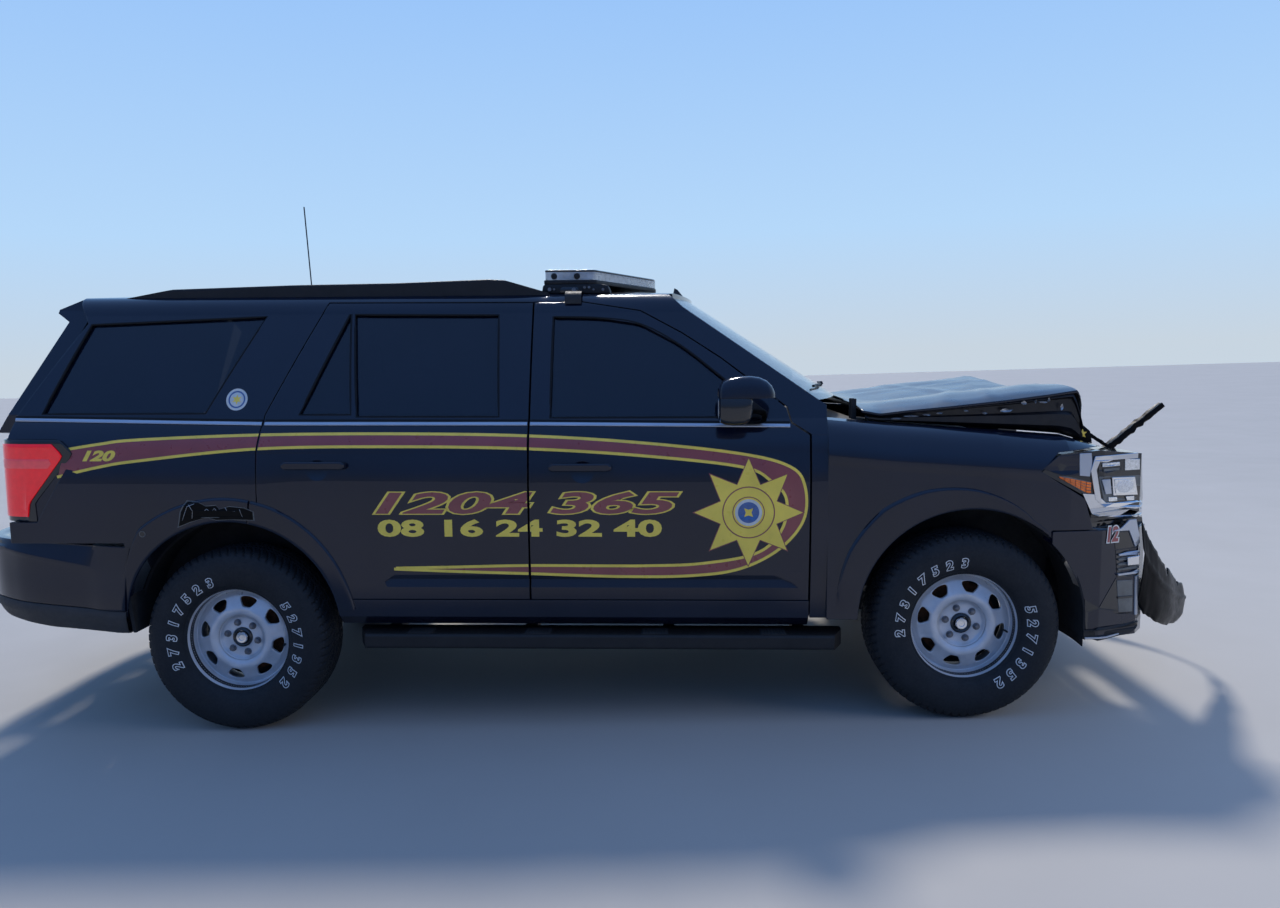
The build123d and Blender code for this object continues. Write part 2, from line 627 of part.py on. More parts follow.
with BuildPart() as wipers:
    for y0, y1, pivot in ((-690, -110, -60), (-40, 560, 600)):
        steps = [y0 + (y1 - y0) * i / 6 for i in range(7)]
        pts = [screen_point(y, 1434, 11) for y in steps]
        for a, b in zip(pts[:-1], pts[1:]):
            add(rod(a, b, 6))
            add(rod(b, (b[0] + 0.01, b[1], b[2] + 6), 6.2))
        mid = screen_point((y0 + y1) / 2, 1434, 20)
        foot = screen_point(pivot, 1424, 14)
        add(rod(foot, mid, 6))
        add(rod(screen_point(pivot, 1424, 2.5), screen_point(pivot, 1424, 22), 11))
    add(windshield.part, mode=Mode.SUBTRACT)

# ---------------------------------------------------------------- rear end
with BuildPart() as tail_lights:
    add(prism([(-2217, 1164), (-2287, 1238), (-2560, 1238), (-2560, 893), (-2382, 893)], -1010, -780))
    add(plan_band([(-2100, 1010), (-2427, 1000), (-2540, 960), (-2562, 800), (-2562, 760)], 250, 880, 1240), mode=Mode.INTERSECT)
    add(body_side_right.part, mode=Mode.SUBTRACT)
    mirror(tail_lights.part, about=Plane.XZ)

with BuildPart() as rear_bumper:
    tail = [(x, -w) for x, w in TAIL_PLAN] + [(x, w) for x, w in reversed(TAIL_PLAN[:-1])]
    inner_tail = [(-2030, 880), (-2450, 880), (-2600, 780), (-2670, 0), (-2600, -780), (-2450, -880), (-2030, -880)]
    add(plan_prism(tail + inner_tail, 404, 789))
    add(block(-2780, -2560, -500, 500, 440, 590), mode=Mode.SUBTRACT)
    add(prism([(-2020, 400), (-2012, 789), (-2300, 810), (-2850, 770), (-2850, 520), (-2560, 490), (-2060, 404)], -1100, 1100), mode=Mode.INTERSECT)
    add(block(-2900, -2790, -310, 310, 560, 700), mode=Mode.SUBTRACT)
    add(arch_cut(rear_arch, -1100, 1100), mode=Mode.SUBTRACT)

# ---------------------------------------------------------------- roof equipment
with BuildPart() as rail_blank:
    add(prism([(-2160, 1822), (-2120, 1846), (-1900, 1886), (-1350, 1901), (-900, 1906), (-490, 1919), (-420, 1915), (-225, 1858),
               (-225, 1840), (-2160, 1810)], -700, -660))
    add(roof_panel.part, mode=Mode.SUBTRACT)
    add(body_side_right.part, mode=Mode.SUBTRACT)
with BuildPart() as roof_rails:
    add(rail_blank.solids().sort_by(SortBy.VOLUME)[-1])
    fillet(roof_rails.edges().filter_by(lambda e: e.center().Z > 1870 and e.length > 300), radius=9)
    mirror(roof_rails.part, about=Plane.XZ)

BAR_PLAN = [(-256, -640), (-20, -640), (232, -60), (237, 0), (232, 60), (-20, 640), (-256, 640), (-40, 60), (-34, 0), (-40, -60)]
with BuildPart() as light_bar:
    add(plan_prism(BAR_PLAN, 1898, 1918))
    for s in (-1, 1):
        ya, yb = (-560, -520) if s < 0 else (520, 560)
        add(block(-180, -60, ya, yb, 1855, 1900))
        y0, y1 = (-765, -600) if s < 0 else (600, 765)
        add(block(-150, -90, y0, y1, 1880, 1900))
    add(roof_panel.part, mode=Mode.SUBTRACT)
    add(body_side_right.part, mode=Mode.SUBTRACT)
    add(body_side_left.part, mode=Mode.SUBTRACT)
with BuildPart() as light_bar_lens:
    add(plan_prism(BAR_PLAN, 1918, 1962))
    fillet(light_bar_lens.faces().sort_by(Axis.Z)[-1].edges(), radius=8)
with BuildPart() as roof_antennas:
    add(prism([(316, 1838), (318, 1862), (330, 1920), (346, 1912), (372, 1880), (404, 1846), (404, 1838)], -13, 13))
    add(rod((-1640, 300, 1870), (-1671, 300, 2392), 3.5))
    add(rod((-1640, 300, 1870), (-1641, 300, 1905), 18))
    add(roof_panel.part, mode=Mode.SUBTRACT)

# ---------------------------------------------------------------- underbody
FLOOR_Z = 590.0
with BuildPart() as chassis_frame:
    for y0 in (-490, 410):
        add(prism([(-2675, 470), (-2675, 580), (-1950, 580), (-1900, 640), (-1200, 640), (-1150, 560), (1000, 560), (1100, 620), (2000, 620),
                   (2200, 620), (2200, 520), (1950, 500), (1130, 500), (1030, 440), (-1130, 440), (-1220, 540), (-1880, 540), (-1960, 470)],
                  y0, y0 + 80))
    for x, z0, z1 in ((2150, 530, 600), (1180, 520, 580), (560, 480, 550), (-240, 480, 550), (-1080, 480, 550), (-1770, 560, 620), (-2650, 480, 570)):
        add(block(x - 25, x + 25, -420, 420, z0, z1))
    add(block(-2760, -2640, -38, 38, 446, 522))
    add(block(-2770, -2670, -25.4, 25.4, 458.6, 509.4), mode=Mode.SUBTRACT)
    add(rod((-2715, -60, 484), (-2715, 60, 484), 8), mode=Mode.SUBTRACT)
    for x in (-2300, -700, 300, 780):
        for y in (-560, 560):
            s = 1 if y > 0 else -1
            add(block(x - 40, x + 40, min(s * 480, s * 600), max(s * 480, s * 600), 520, 545))
            with BuildSketch(Plane.XY.offset(545)):
                with Locations((x, y)):
                    Circle(28)
            extrude(amount=FLOOR_Z - 545)

with BuildPart() as floor_pan:
    add(block(-1080, 905, -800, 800, FLOOR_Z, FLOOR_Z + 20))
    add(block(-2540, -1080, -700, 700, FLOOR_Z + 60, FLOOR_Z + 80))
    add(block(-1090, -1070, -700, 700, FLOOR_Z, FLOOR_Z + 80))
    for x in (-2300,):
        for y in (-560, 560):
            add(block(x - 40, x + 40, y - 40, y + 40, FLOOR_Z, FLOOR_Z + 62))

with BuildPart() as wheel_liners:
    for s in (-1, 1):
        ya, yb = (-872, -700) if s < 0 else (700, 872)
        with BuildSketch(Plane(origin=(0, ya, 0), x_dir=(1, 0, 0), z_dir=(0, -1, 0))):
            with Locations((rear_arch[0], rear_arch[1])):
                Circle(rear_arch[2] + 4)
                Circle(rear_arch[2] - 8, mode=Mode.SUBTRACT)
            with Locations((rear_arch[0], rear_arch[1] - 600)):
                Rectangle(2000, 1200, mode=Mode.SUBTRACT)
        extrude(amount=-(yb - ya))
        y2 = -710 if s < 0 else 700
        with BuildSketch(Plane(origin=(0, y2, 0), x_dir=(1, 0, 0), z_dir=(0, -1, 0))):
            with Locations((rear_arch[0], rear_arch[1])):
                Circle(rear_arch[2] + 4)
            with Locations((rear_arch[0], rear_arch[1] - 570)):
                Rectangle(2000, 1400, mode=Mode.SUBTRACT)
        extrude(amount=-10)
    # front liners, an arch over each steered wheel
    for ya in (-980, 722):
        with BuildSketch(Plane(origin=(0, ya, 0), x_dir=(1, 0, 0), z_dir=(0, -1, 0))):
            with Locations((front_arch[0], front_arch[1])):
                Circle(front_arch[2] + 2)
            with Locations((front_arch[0] + front_arch[2] / 2, front_arch[1] - 40)):
                Rectangle(front_arch[2] + 4, 80)
            with Locations((front_arch[0], front_arch[1])):
                Circle(front_arch[2] - 6, mode=Mode.SUBTRACT)
            with Locations((front_arch[0], front_arch[1] - 300)):
                Rectangle(2 * front_arch[2] - 12, 600, mode=Mode.SUBTRACT)
            with Locations((front_arch[0] - 500, front_arch[1] - 300)):
                Rectangle(1000, 600, mode=Mode.SUBTRACT)
            with Locations((front_arch[0] + 500, front_arch[1] - 371)):
                Rectangle(1000, 600, mode=Mode.SUBTRACT)
        extrude(amount=-258)
    # front wall of each front wheel house
    add(block(2046, 2052, -724, -430, 400, 640))
    add(block(2046, 2052, 430, 724, 400, 640))
    # mud flaps behind the rear wheels
    add(prism([(-2006, 405), (-2030, 560), (-2018, 640), (-2004, 640), (-2010, 560), (-1994, 405)], -985, -740))
    add(prism([(-2006, 405), (-2030, 560), (-2018, 640), (-2004, 640), (-2010, 560), (-1994, 405)], 740, 985))
    add(body_side_right.part, mode=Mode.SUBTRACT)
    add(body_side_left.part, mode=Mode.SUBTRACT)
    add(floor_pan.part, mode=Mode.SUBTRACT)
    add(rear_bumper.part, mode=Mode.SUBTRACT)
    add(fender_right.part, mode=Mode.SUBTRACT)
    add(mirror(fender_right.part, about=Plane.XZ, mode=Mode.PRIVATE), mode=Mode.SUBTRACT)
    add(front_bumper.part, mode=Mode.SUBTRACT)
    add(front_structure.part, mode=Mode.SUBTRACT)
    add(headlights.part, mode=Mode.SUBTRACT)
    add(chassis_frame.part, mode=Mode.SUBTRACT)

with BuildPart() as running_boards:
    add(plan_prism([(-1036, -905), (-990, -1008), (995, -1008), (1039, -905), (1039, -860), (-1036, -860)], 345, 410))
    fillet(running_boards.edges().filter_by(Axis.X).sort_by(Axis.Y)[0:2], radius=14)
    for x in (-900, -300, 300, 860):
        add(prism([(x - 25, 380), (x - 25, 410), (x + 25, 410), (x + 25, 380)], -870, -480))
        add(block(x - 25, x + 25, -500, -491, 380, 470))
    mirror(running_boards.part, about=Plane.XZ)

with BuildPart() as engine:
    # crankcase, sump, two leaning banks with their covers, inlet, pulleys and alternator
    add(block(1290, 1990, -170, 170, 700, 900))
    add(block(1330, 1880, -130, 130, 640, 702))
    for s in (-1, 1):
        for x0, x1, pts in ((1310, 1970, [(20, 860), (140, 790), (282, 990), (170, 1066)]), (1330, 1950, [(170, 1060), (276, 986), (298, 1030), (205, 1094)])):
            with BuildSketch(Plane.YZ.offset(x0)):
                with BuildLine():
                    Polyline(*[(s * y, z) for y, z in pts], close=True)
                make_face()
            extrude(amount=x1 - x0)
    add(block(1390, 1880, -112, 112, 890, 1085))
    fillet(engine.edges().filter_by(Axis.X).filter_by(lambda e: abs(e.center().Y) < 114 and e.center().Z > 1080), radius=24)
    add(rod((1250, 0, 1040), (1400, 0, 1040), 42))
    add(rod((1980, 0, 765), (2034, 0, 765), 84))
    add(rod((1980, 0, 935), (2046, 0, 935), 62))
    add(rod((1940, -200, 880), (2040, -200, 880), 66))
    add(rod((1940, 205, 850), (2040, 205, 850), 60))
    for y0, y1 in ((-250, -165), (165, 250)):
        add(block(1500, 1580, y0, y1, 720, 800))
with BuildPart() as driveline:
    add(prism([(525, 430), (525, 475), (590, 478), (595, 580), (900, 584), (935, 600), (935, 830), (1150, 830), (1150, 460), (1000, 430)], -150, 150))
    add(rod((540, 0, 452), (-1400, 0, 420), 27))
with BuildPart() as exhaust:
    add(rod((1100, 330, 440), (-400, 330, 440), 30))
    add(rod((-400, 330, 440), (-900, 330, 440), 80))
    add(rod((-900, 330, 440), (-1300, 330, 440), 30))
with BuildPart() as fuel_tank:
    add(block(-1050, -270, -390, -90, 380, 575))
# ---------------------------------------------------------------- cabin
with BuildPart() as dashboard:
    add(prism([(904, 760), (904, 1150), (880, 1235), (700, 1250), (560, 1190), (540, 1050), (600, 960), (720, 900), (820, 760)], -790, 790))
    add(block(250, 720, -110, 110, 640, 900))
    with BuildSketch(Plane(origin=(449, 400, 1123), x_dir=(0, 1, 0), z_dir=(0.94, 0, -0.342))):
        Circle(34)
    extrude(amount=170)
with BuildPart() as steering_wheel:
    with BuildSketch(Plane(origin=(430, 400, 1130), x_dir=(0, 1, 0), z_dir=(-0.94, 0, 0.342))) as ring:
        Circle(190)
        Circle(162, mode=Mode.SUBTRACT)
        Circle(60)
        Rectangle(340, 36)
        with Locations((0, -90)):
            Rectangle(40, 160)
    extrude(amount=14, both=True)
    fillet(steering_wheel.edges().filter_by(GeomType.CIRCLE).filter_by(lambda e: e.length > 500), radius=10)


def seat(x, y, w):
    """Cushion, back and head restraint of one seating place."""
    with BuildPart() as st:
        add(block(x - 250, x + 280, y - w / 2, y + w / 2, 800, 950))
        add(block(x - 200, x + 200, y - w / 2 + 40, y + w / 2 - 40, FLOOR_Z + 20, 800))
        add(prism([(x - 250, 860), (x - 130, 860), (x - 230, 1490), (x - 330, 1490)], y - w / 2 + 10, y + w / 2 - 10))
        add(prism([(x - 330, 1480), (x - 240, 1480), (x - 260, 1660), (x - 340, 1660)], y - 130, y + 130))
    return st.part


with BuildPart() as front_seats:
    for y in (-400, 400):
        add(seat(60, y, 520))
with BuildPart() as rear_seats:
    for y in (-400, 0, 400):
        add(seat(-820, y, 400 if y else 398))

# ---------------------------------------------------------------- wheels, on the ground frame
WHEELS = [("front_right", front_axle_x, -1), ("front_left", front_axle_x, 1), ("rear_right", rear_axle_x, -1), ("rear_left", rear_axle_x, 1)]
TYRE_PROFILE = [(bead_r, 735), (bead_r, 757), (245, 741), (320, 737), (370, 745), (388, 770), (388, 945), (370, 970), (320, 978),
                (245, 974), (bead_r, 958), (bead_r, 980), (245, 988), (320, 990), (362, 984), (392, 962), (tyre_r, 930),
                (tyre_r, 785), (392, 753), (362, 731), (320, 725), (245, 727)]
RIM_PROFILE = [(rim_lip_r, 757), (rim_lip_r, 764), (215.8, 772), (215.8, 800), (200, 812), (200, 905), (215.8, 925), (215.8, 948),
               (rim_lip_r, 955), (rim_lip_r, 962), (224, 962), (206, 950), (206, 930), (190, 915), (190, 815), (206, 796), (206, 772), (224, 757)]


def wheel_disc():
    """One wheel on the right-hand side, its outer face towards -Y, with hub and brake disc."""
    with BuildPart() as w:
        with BuildSketch(Plane(origin=(0, 0, 0), x_dir=(1, 0, 0), z_dir=(0, 0, 1))):
            with BuildLine():
                Polyline(*[(r, -y) for r, y in RIM_PROFILE], close=True)
            make_face()
            with BuildLine():
                Polyline((spindle_r + 0.05, -870), (60, -870), (60, -842), (165, -842), (165, -864), (96, -864), (96, -888), (104, -903),
                         (124, -917), (150, -921), (176, -916), (190, -905), (198, -898), (198, -906), (192, -914), (178, -926),
                         (150, -931), (120, -927), (100, -914), (90, -906), (44, -906), (41, -903), (40, -880), (30, -880), (30, -920),
                         (24, -924), (spindle_r + 0.05, -924), close=True)
            make_face()
        revolve(axis=Axis.Y)
        with BuildSketch(Plane(origin=(0, -875, 0), x_dir=(1, 0, 0), z_dir=(0, -1, 0))):
            with PolarLocations(164, 8, start_angle=32):
                SlotOverall(66, 36, rotation=90)
        extrude(amount=100, mode=Mode.SUBTRACT)
        with BuildSketch(Plane(origin=(0, -900, 0), x_dir=(1, 0, 0), z_dir=(0, -1, 0))):
            with PolarLocations(67.5, 6, start_angle=-12):
                RegularPolygon(11, 6)
        extrude(amount=28)
        with BuildSketch(Plane(origin=(0, -904, 0), x_dir=(1, 0, 0), z_dir=(0, -1, 0))):
            with PolarLocations(67.5, 6, start_angle=-12):
                Circle(15)
        extrude(amount=6)
    return w.part


wheel_shape = wheel_disc()
with BuildPart() as tyre_shape:
    with BuildSketch(Plane.XY):
        with BuildLine():
            Polyline(*[(r, -y) for r, y in TYRE_PROFILE], close=True)
        make_face()
    revolve(axis=Axis.Y)

for name, x, s in WHEELS:
    with BuildPart() as tyre:
        with Locations((x, 0, axle_z)):
            add(tyre_shape.part if s < 0 else mirror(tyre_shape.part, about=Plane.XZ, mode=Mode.PRIVATE))
    save(tyre.part, "tyre_" + name)
    with BuildPart() as rim:
        with Locations((x, 0, axle_z)):
            add(wheel_shape if s < 0 else mirror(wheel_shape, about=Plane.XZ, mode=Mode.PRIVATE))
    save(rim.part, "wheel_" + name)

# ---------------------------------------------------------------- suspension, on the ground frame
ball_top_z, ball_low_z = 566.0, 236.0
with BuildPart() as knuckle_front_right:
    add(block(front_axle_x - 30, front_axle_x + 30, -822, -782, 260, 542))
    add(rod((front_axle_x, -822, axle_z), (front_axle_x, -905, axle_z), spindle_r))
    add(block(front_axle_x - 150, front_axle_x - 20, -812, -790, 330, 350))
    add(rod((front_axle_x, -kingpin_y, 262), (front_axle_x, -kingpin_y, ball_low_z - 14), 9))
    add(rod((front_axle_x, -kingpin_y, 540), (front_axle_x, -kingpin_y, ball_top_z + 14), 9))
with BuildPart() as knuckle_front_left:
    mirror(knuckle_front_right.part, about=Plane.XZ)
with BuildPart() as front_suspension:
    for z in (ball_low_z, ball_top_z):
        add(plan_prism([(front_axle_x - 20, -818), (front_axle_x + 20, -818), (front_axle_x + 20, -690), (front_axle_x + 150, -560),
                        (front_axle_x + 150, -440), (front_axle_x + 90, -440), (front_axle_x + 60, -600), (front_axle_x - 60, -600),
                        (front_axle_x - 90, -440), (front_axle_x - 150, -440), (front_axle_x - 150, -560), (front_axle_x - 20, -690)],
                       z - 9, z + 9))
        with BuildSketch(Plane.XY.offset(z - 20)):
            with Locations((front_axle_x, -kingpin_y)):
                Circle(9.05)
        extrude(amount=40, mode=Mode.SUBTRACT)
    add(rod((front_axle_x, -612, 236), (front_axle_x, -590, 640), 42))
    add(block(front_axle_x - 150, front_axle_x + 150, -460, 0, 215, 300))
    add(block(front_axle_x - 150, front_axle_x - 90, -480, -425, 215, 480))
    add(block(front_axle_x + 90, front_axle_x + 150, -480, -425, 215, 480))
    add(block(front_axle_x - 150, front_axle_x + 150, -480, -425, 555, 600))
    add(set_down(chassis_frame.part), mode=Mode.SUBTRACT)
    add(set_down(front_structure.part), mode=Mode.SUBTRACT)
    mirror(front_suspension.part, about=Plane.XZ)
with BuildPart() as spare_wheel:
    # full-size spare, lying flat under the rear floor
    add(rod((-2212, 0, 372), (-2212, 0, 637), 398))
    add(rod((-2212, 0, 560), (-2212, 0, 640), 205), mode=Mode.SUBTRACT)
    add(rod((-2212, 0, 360), (-2212, 0, 440), 205), mode=Mode.SUBTRACT)
    fillet(spare_wheel.edges().filter_by(GeomType.CIRCLE).sort_by(SortBy.RADIUS)[-2:], radius=50)
with BuildPart() as rear_suspension:
    add(block(rear_axle_x - 35, rear_axle_x + 35, -822, -775, 250, 540))
    add(rod((rear_axle_x, -822, axle_z), (rear_axle_x, -905, axle_z), spindle_r))
    add(plan_prism([(rear_axle_x - 40, -800), (rear_axle_x + 40, -800), (rear_axle_x + 150, -440), (rear_axle_x - 150, -440)], 235, 265))
    add(plan_prism([(rear_axle_x - 30, -800), (rear_axle_x + 30, -800), (rear_axle_x + 100, -440), (rear_axle_x - 100, -440)], 520, 540))
    add(rod((rear_axle_x, -790, axle_z), (rear_axle_x, 0, axle_z), 24))
    add(rod((rear_axle_x, -180, axle_z), (rear_axle_x, 0, axle_z), 130))
    add(block(rear_axle_x - 150, rear_axle_x - 90, -500, -440, 235, 590))
    add(block(rear_axle_x + 90, rear_axle_x + 150, -500, -440, 235, 590))
    add(block(rear_axle_x - 150, rear_axle_x + 150, -460, 0, 235, 265))
    add(set_down(chassis_frame.part), mode=Mode.SUBTRACT)
    mirror(rear_suspension.part, about=Plane.XZ)

# ---------------------------------------------------------------- set down on the wheels and written out
SPRUNG = ["body_side_right", "body_side_left", "roof_panel", "front_door_right", "front_door_left", "rear_door_right", "rear_door_left",
          "front_door_glass_right", "front_door_glass_left", "rear_door_glass_right", "rear_door_glass_left", "quarter_windows",
          "mirror_right", "mirror_left", "windshield", "liftgate", "liftgate_glass", "fender_right", "fender_left", "hood",
          "cowl_and_firewall", "front_structure", "headlights", "front_bumper", "bumper_cover", "grille_remains", "wipers", "tail_lights",
          "rear_bumper", "roof_rails", "light_bar", "light_bar_lens", "roof_antennas", "chassis_frame", "floor_pan", "wheel_liners",
          "running_boards", "engine", "driveline", "exhaust", "fuel_tank", "spare_wheel", "dashboard", "steering_wheel",
          "front_seats", "rear_seats"]
made = dict(globals())
for name in SPRUNG:
    save(set_down(made[name].part), name)
for name in ("knuckle_front_right", "knuckle_front_left", "front_suspension", "rear_suspension"):
    save(made[name].part, name)
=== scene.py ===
import math

import bmesh
import bpy
from mathutils import Matrix, Vector, noise


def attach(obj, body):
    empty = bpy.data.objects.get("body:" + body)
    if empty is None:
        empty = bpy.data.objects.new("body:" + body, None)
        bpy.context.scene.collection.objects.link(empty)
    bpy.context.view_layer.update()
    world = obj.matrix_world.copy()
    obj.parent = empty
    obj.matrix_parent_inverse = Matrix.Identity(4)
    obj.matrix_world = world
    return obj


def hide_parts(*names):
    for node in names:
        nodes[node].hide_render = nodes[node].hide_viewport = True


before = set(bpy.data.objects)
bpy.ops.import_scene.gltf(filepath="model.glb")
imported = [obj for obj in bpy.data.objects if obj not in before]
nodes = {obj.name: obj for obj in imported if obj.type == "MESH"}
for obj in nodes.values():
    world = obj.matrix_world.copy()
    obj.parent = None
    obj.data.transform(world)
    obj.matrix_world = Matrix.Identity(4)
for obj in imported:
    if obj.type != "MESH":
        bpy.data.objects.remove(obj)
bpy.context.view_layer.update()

# ------------------------------------------------------------------ body frame
# The body is drawn level in millimetres and sits nose-low by the rake.
RAKE = math.radians(1.35)
CR, SR = math.cos(RAKE), math.sin(RAKE)
AXLE_Z = 0.4015
WHEEL_X = {"front": 1.556, "rear": -1.556}


def lv(x, y, z):
    """Level body point in mm to the row frame in metres."""
    return Vector(((x * CR + z * SR) / 1000, y / 1000, (-x * SR + z * CR) / 1000))


def arc(a, b, c, n=10):
    """Points along the circle through three (y, z) points."""
    ax, ay = a; bx, by = b; cx, cy = c
    d = 2 * (ax * (by - cy) + bx * (cy - ay) + cx * (ay - by))
    ux = ((ax * ax + ay * ay) * (by - cy) + (bx * bx + by * by) * (cy - ay) + (cx * cx + cy * cy) * (ay - by)) / d
    uy = ((ax * ax + ay * ay) * (cx - bx) + (bx * bx + by * by) * (ax - cx) + (cx * cx + cy * cy) * (bx - ax)) / d
    t0, t1, t2 = (math.atan2(p[1] - uy, p[0] - ux) for p in (a, b, c))
    r = math.hypot(ax - ux, ay - uy)
    while t1 - t0 > math.pi: t1 -= 2 * math.pi
    while t1 - t0 < -math.pi: t1 += 2 * math.pi
    while t2 - t1 > math.pi: t2 -= 2 * math.pi
    while t2 - t1 < -math.pi: t2 += 2 * math.pi
    return [(ux + r * math.cos(t0 + (t2 - t0) * i / n), uy + r * math.sin(t0 + (t2 - t0) * i / n)) for i in range(n + 1)]


SECTION = [(945, 440), (985, 480)]
for run in (((985, 480), (1005, 720), (1012, 900)), ((1012, 900), (1011, 1080), (1000, 1180)),
            ((1000, 1180), (986, 1250), (948, 1318)), ((948, 1318), (866, 1550), (770, 1768)),
            ((770, 1768), (740, 1822), (690, 1850))):
    SECTION += arc(*run)[1:]
NOSE_PLAN = [(1650, 1013), (1910, 995), (2100, 958), (2290, 868), (2420, 640), (2500, 0)]
TAIL_PLAN = [(-2827, 0), (-2800, 480), (-2710, 850), (-2600, 962), (-2427, 1002), (-2030, 1013)]
FENDER_PLAN = [(893, 1010), (1900, 1010), (1974, 985), (2100, 985), (2160, 950)]


def lerp(table, t):
    if t <= table[0][0]:
        return table[0][1]
    for (a, va), (b, vb) in zip(table[:-1], table[1:]):
        if t <= b:
            return va + (vb - va) * (t - a) / (b - a)
    return table[-1][1]


SEC_Z = [(z, y) for y, z in SECTION]


def half(x, z):
    """Outer half width of the body skin at a level (x, z)."""
    y = lerp(SEC_Z, z)
    if x > 893:
        y = min(1010.0, lerp(FENDER_PLAN, x)) if x < 2160 else 950.0
    if x > 1884 and z < 852:
        y = min(1011.0, lerp(NOSE_PLAN, x))
    if x < -2030:
        y = min(y, lerp(TAIL_PLAN, x))
    return y


# ------------------------------------------------------------------ materials
def node(nt, kind, **inputs):
    n = nt.nodes.new(kind)
    for k, v in inputs.items():
        if k in n.inputs:
            n.inputs[k].default_value = v
    return n


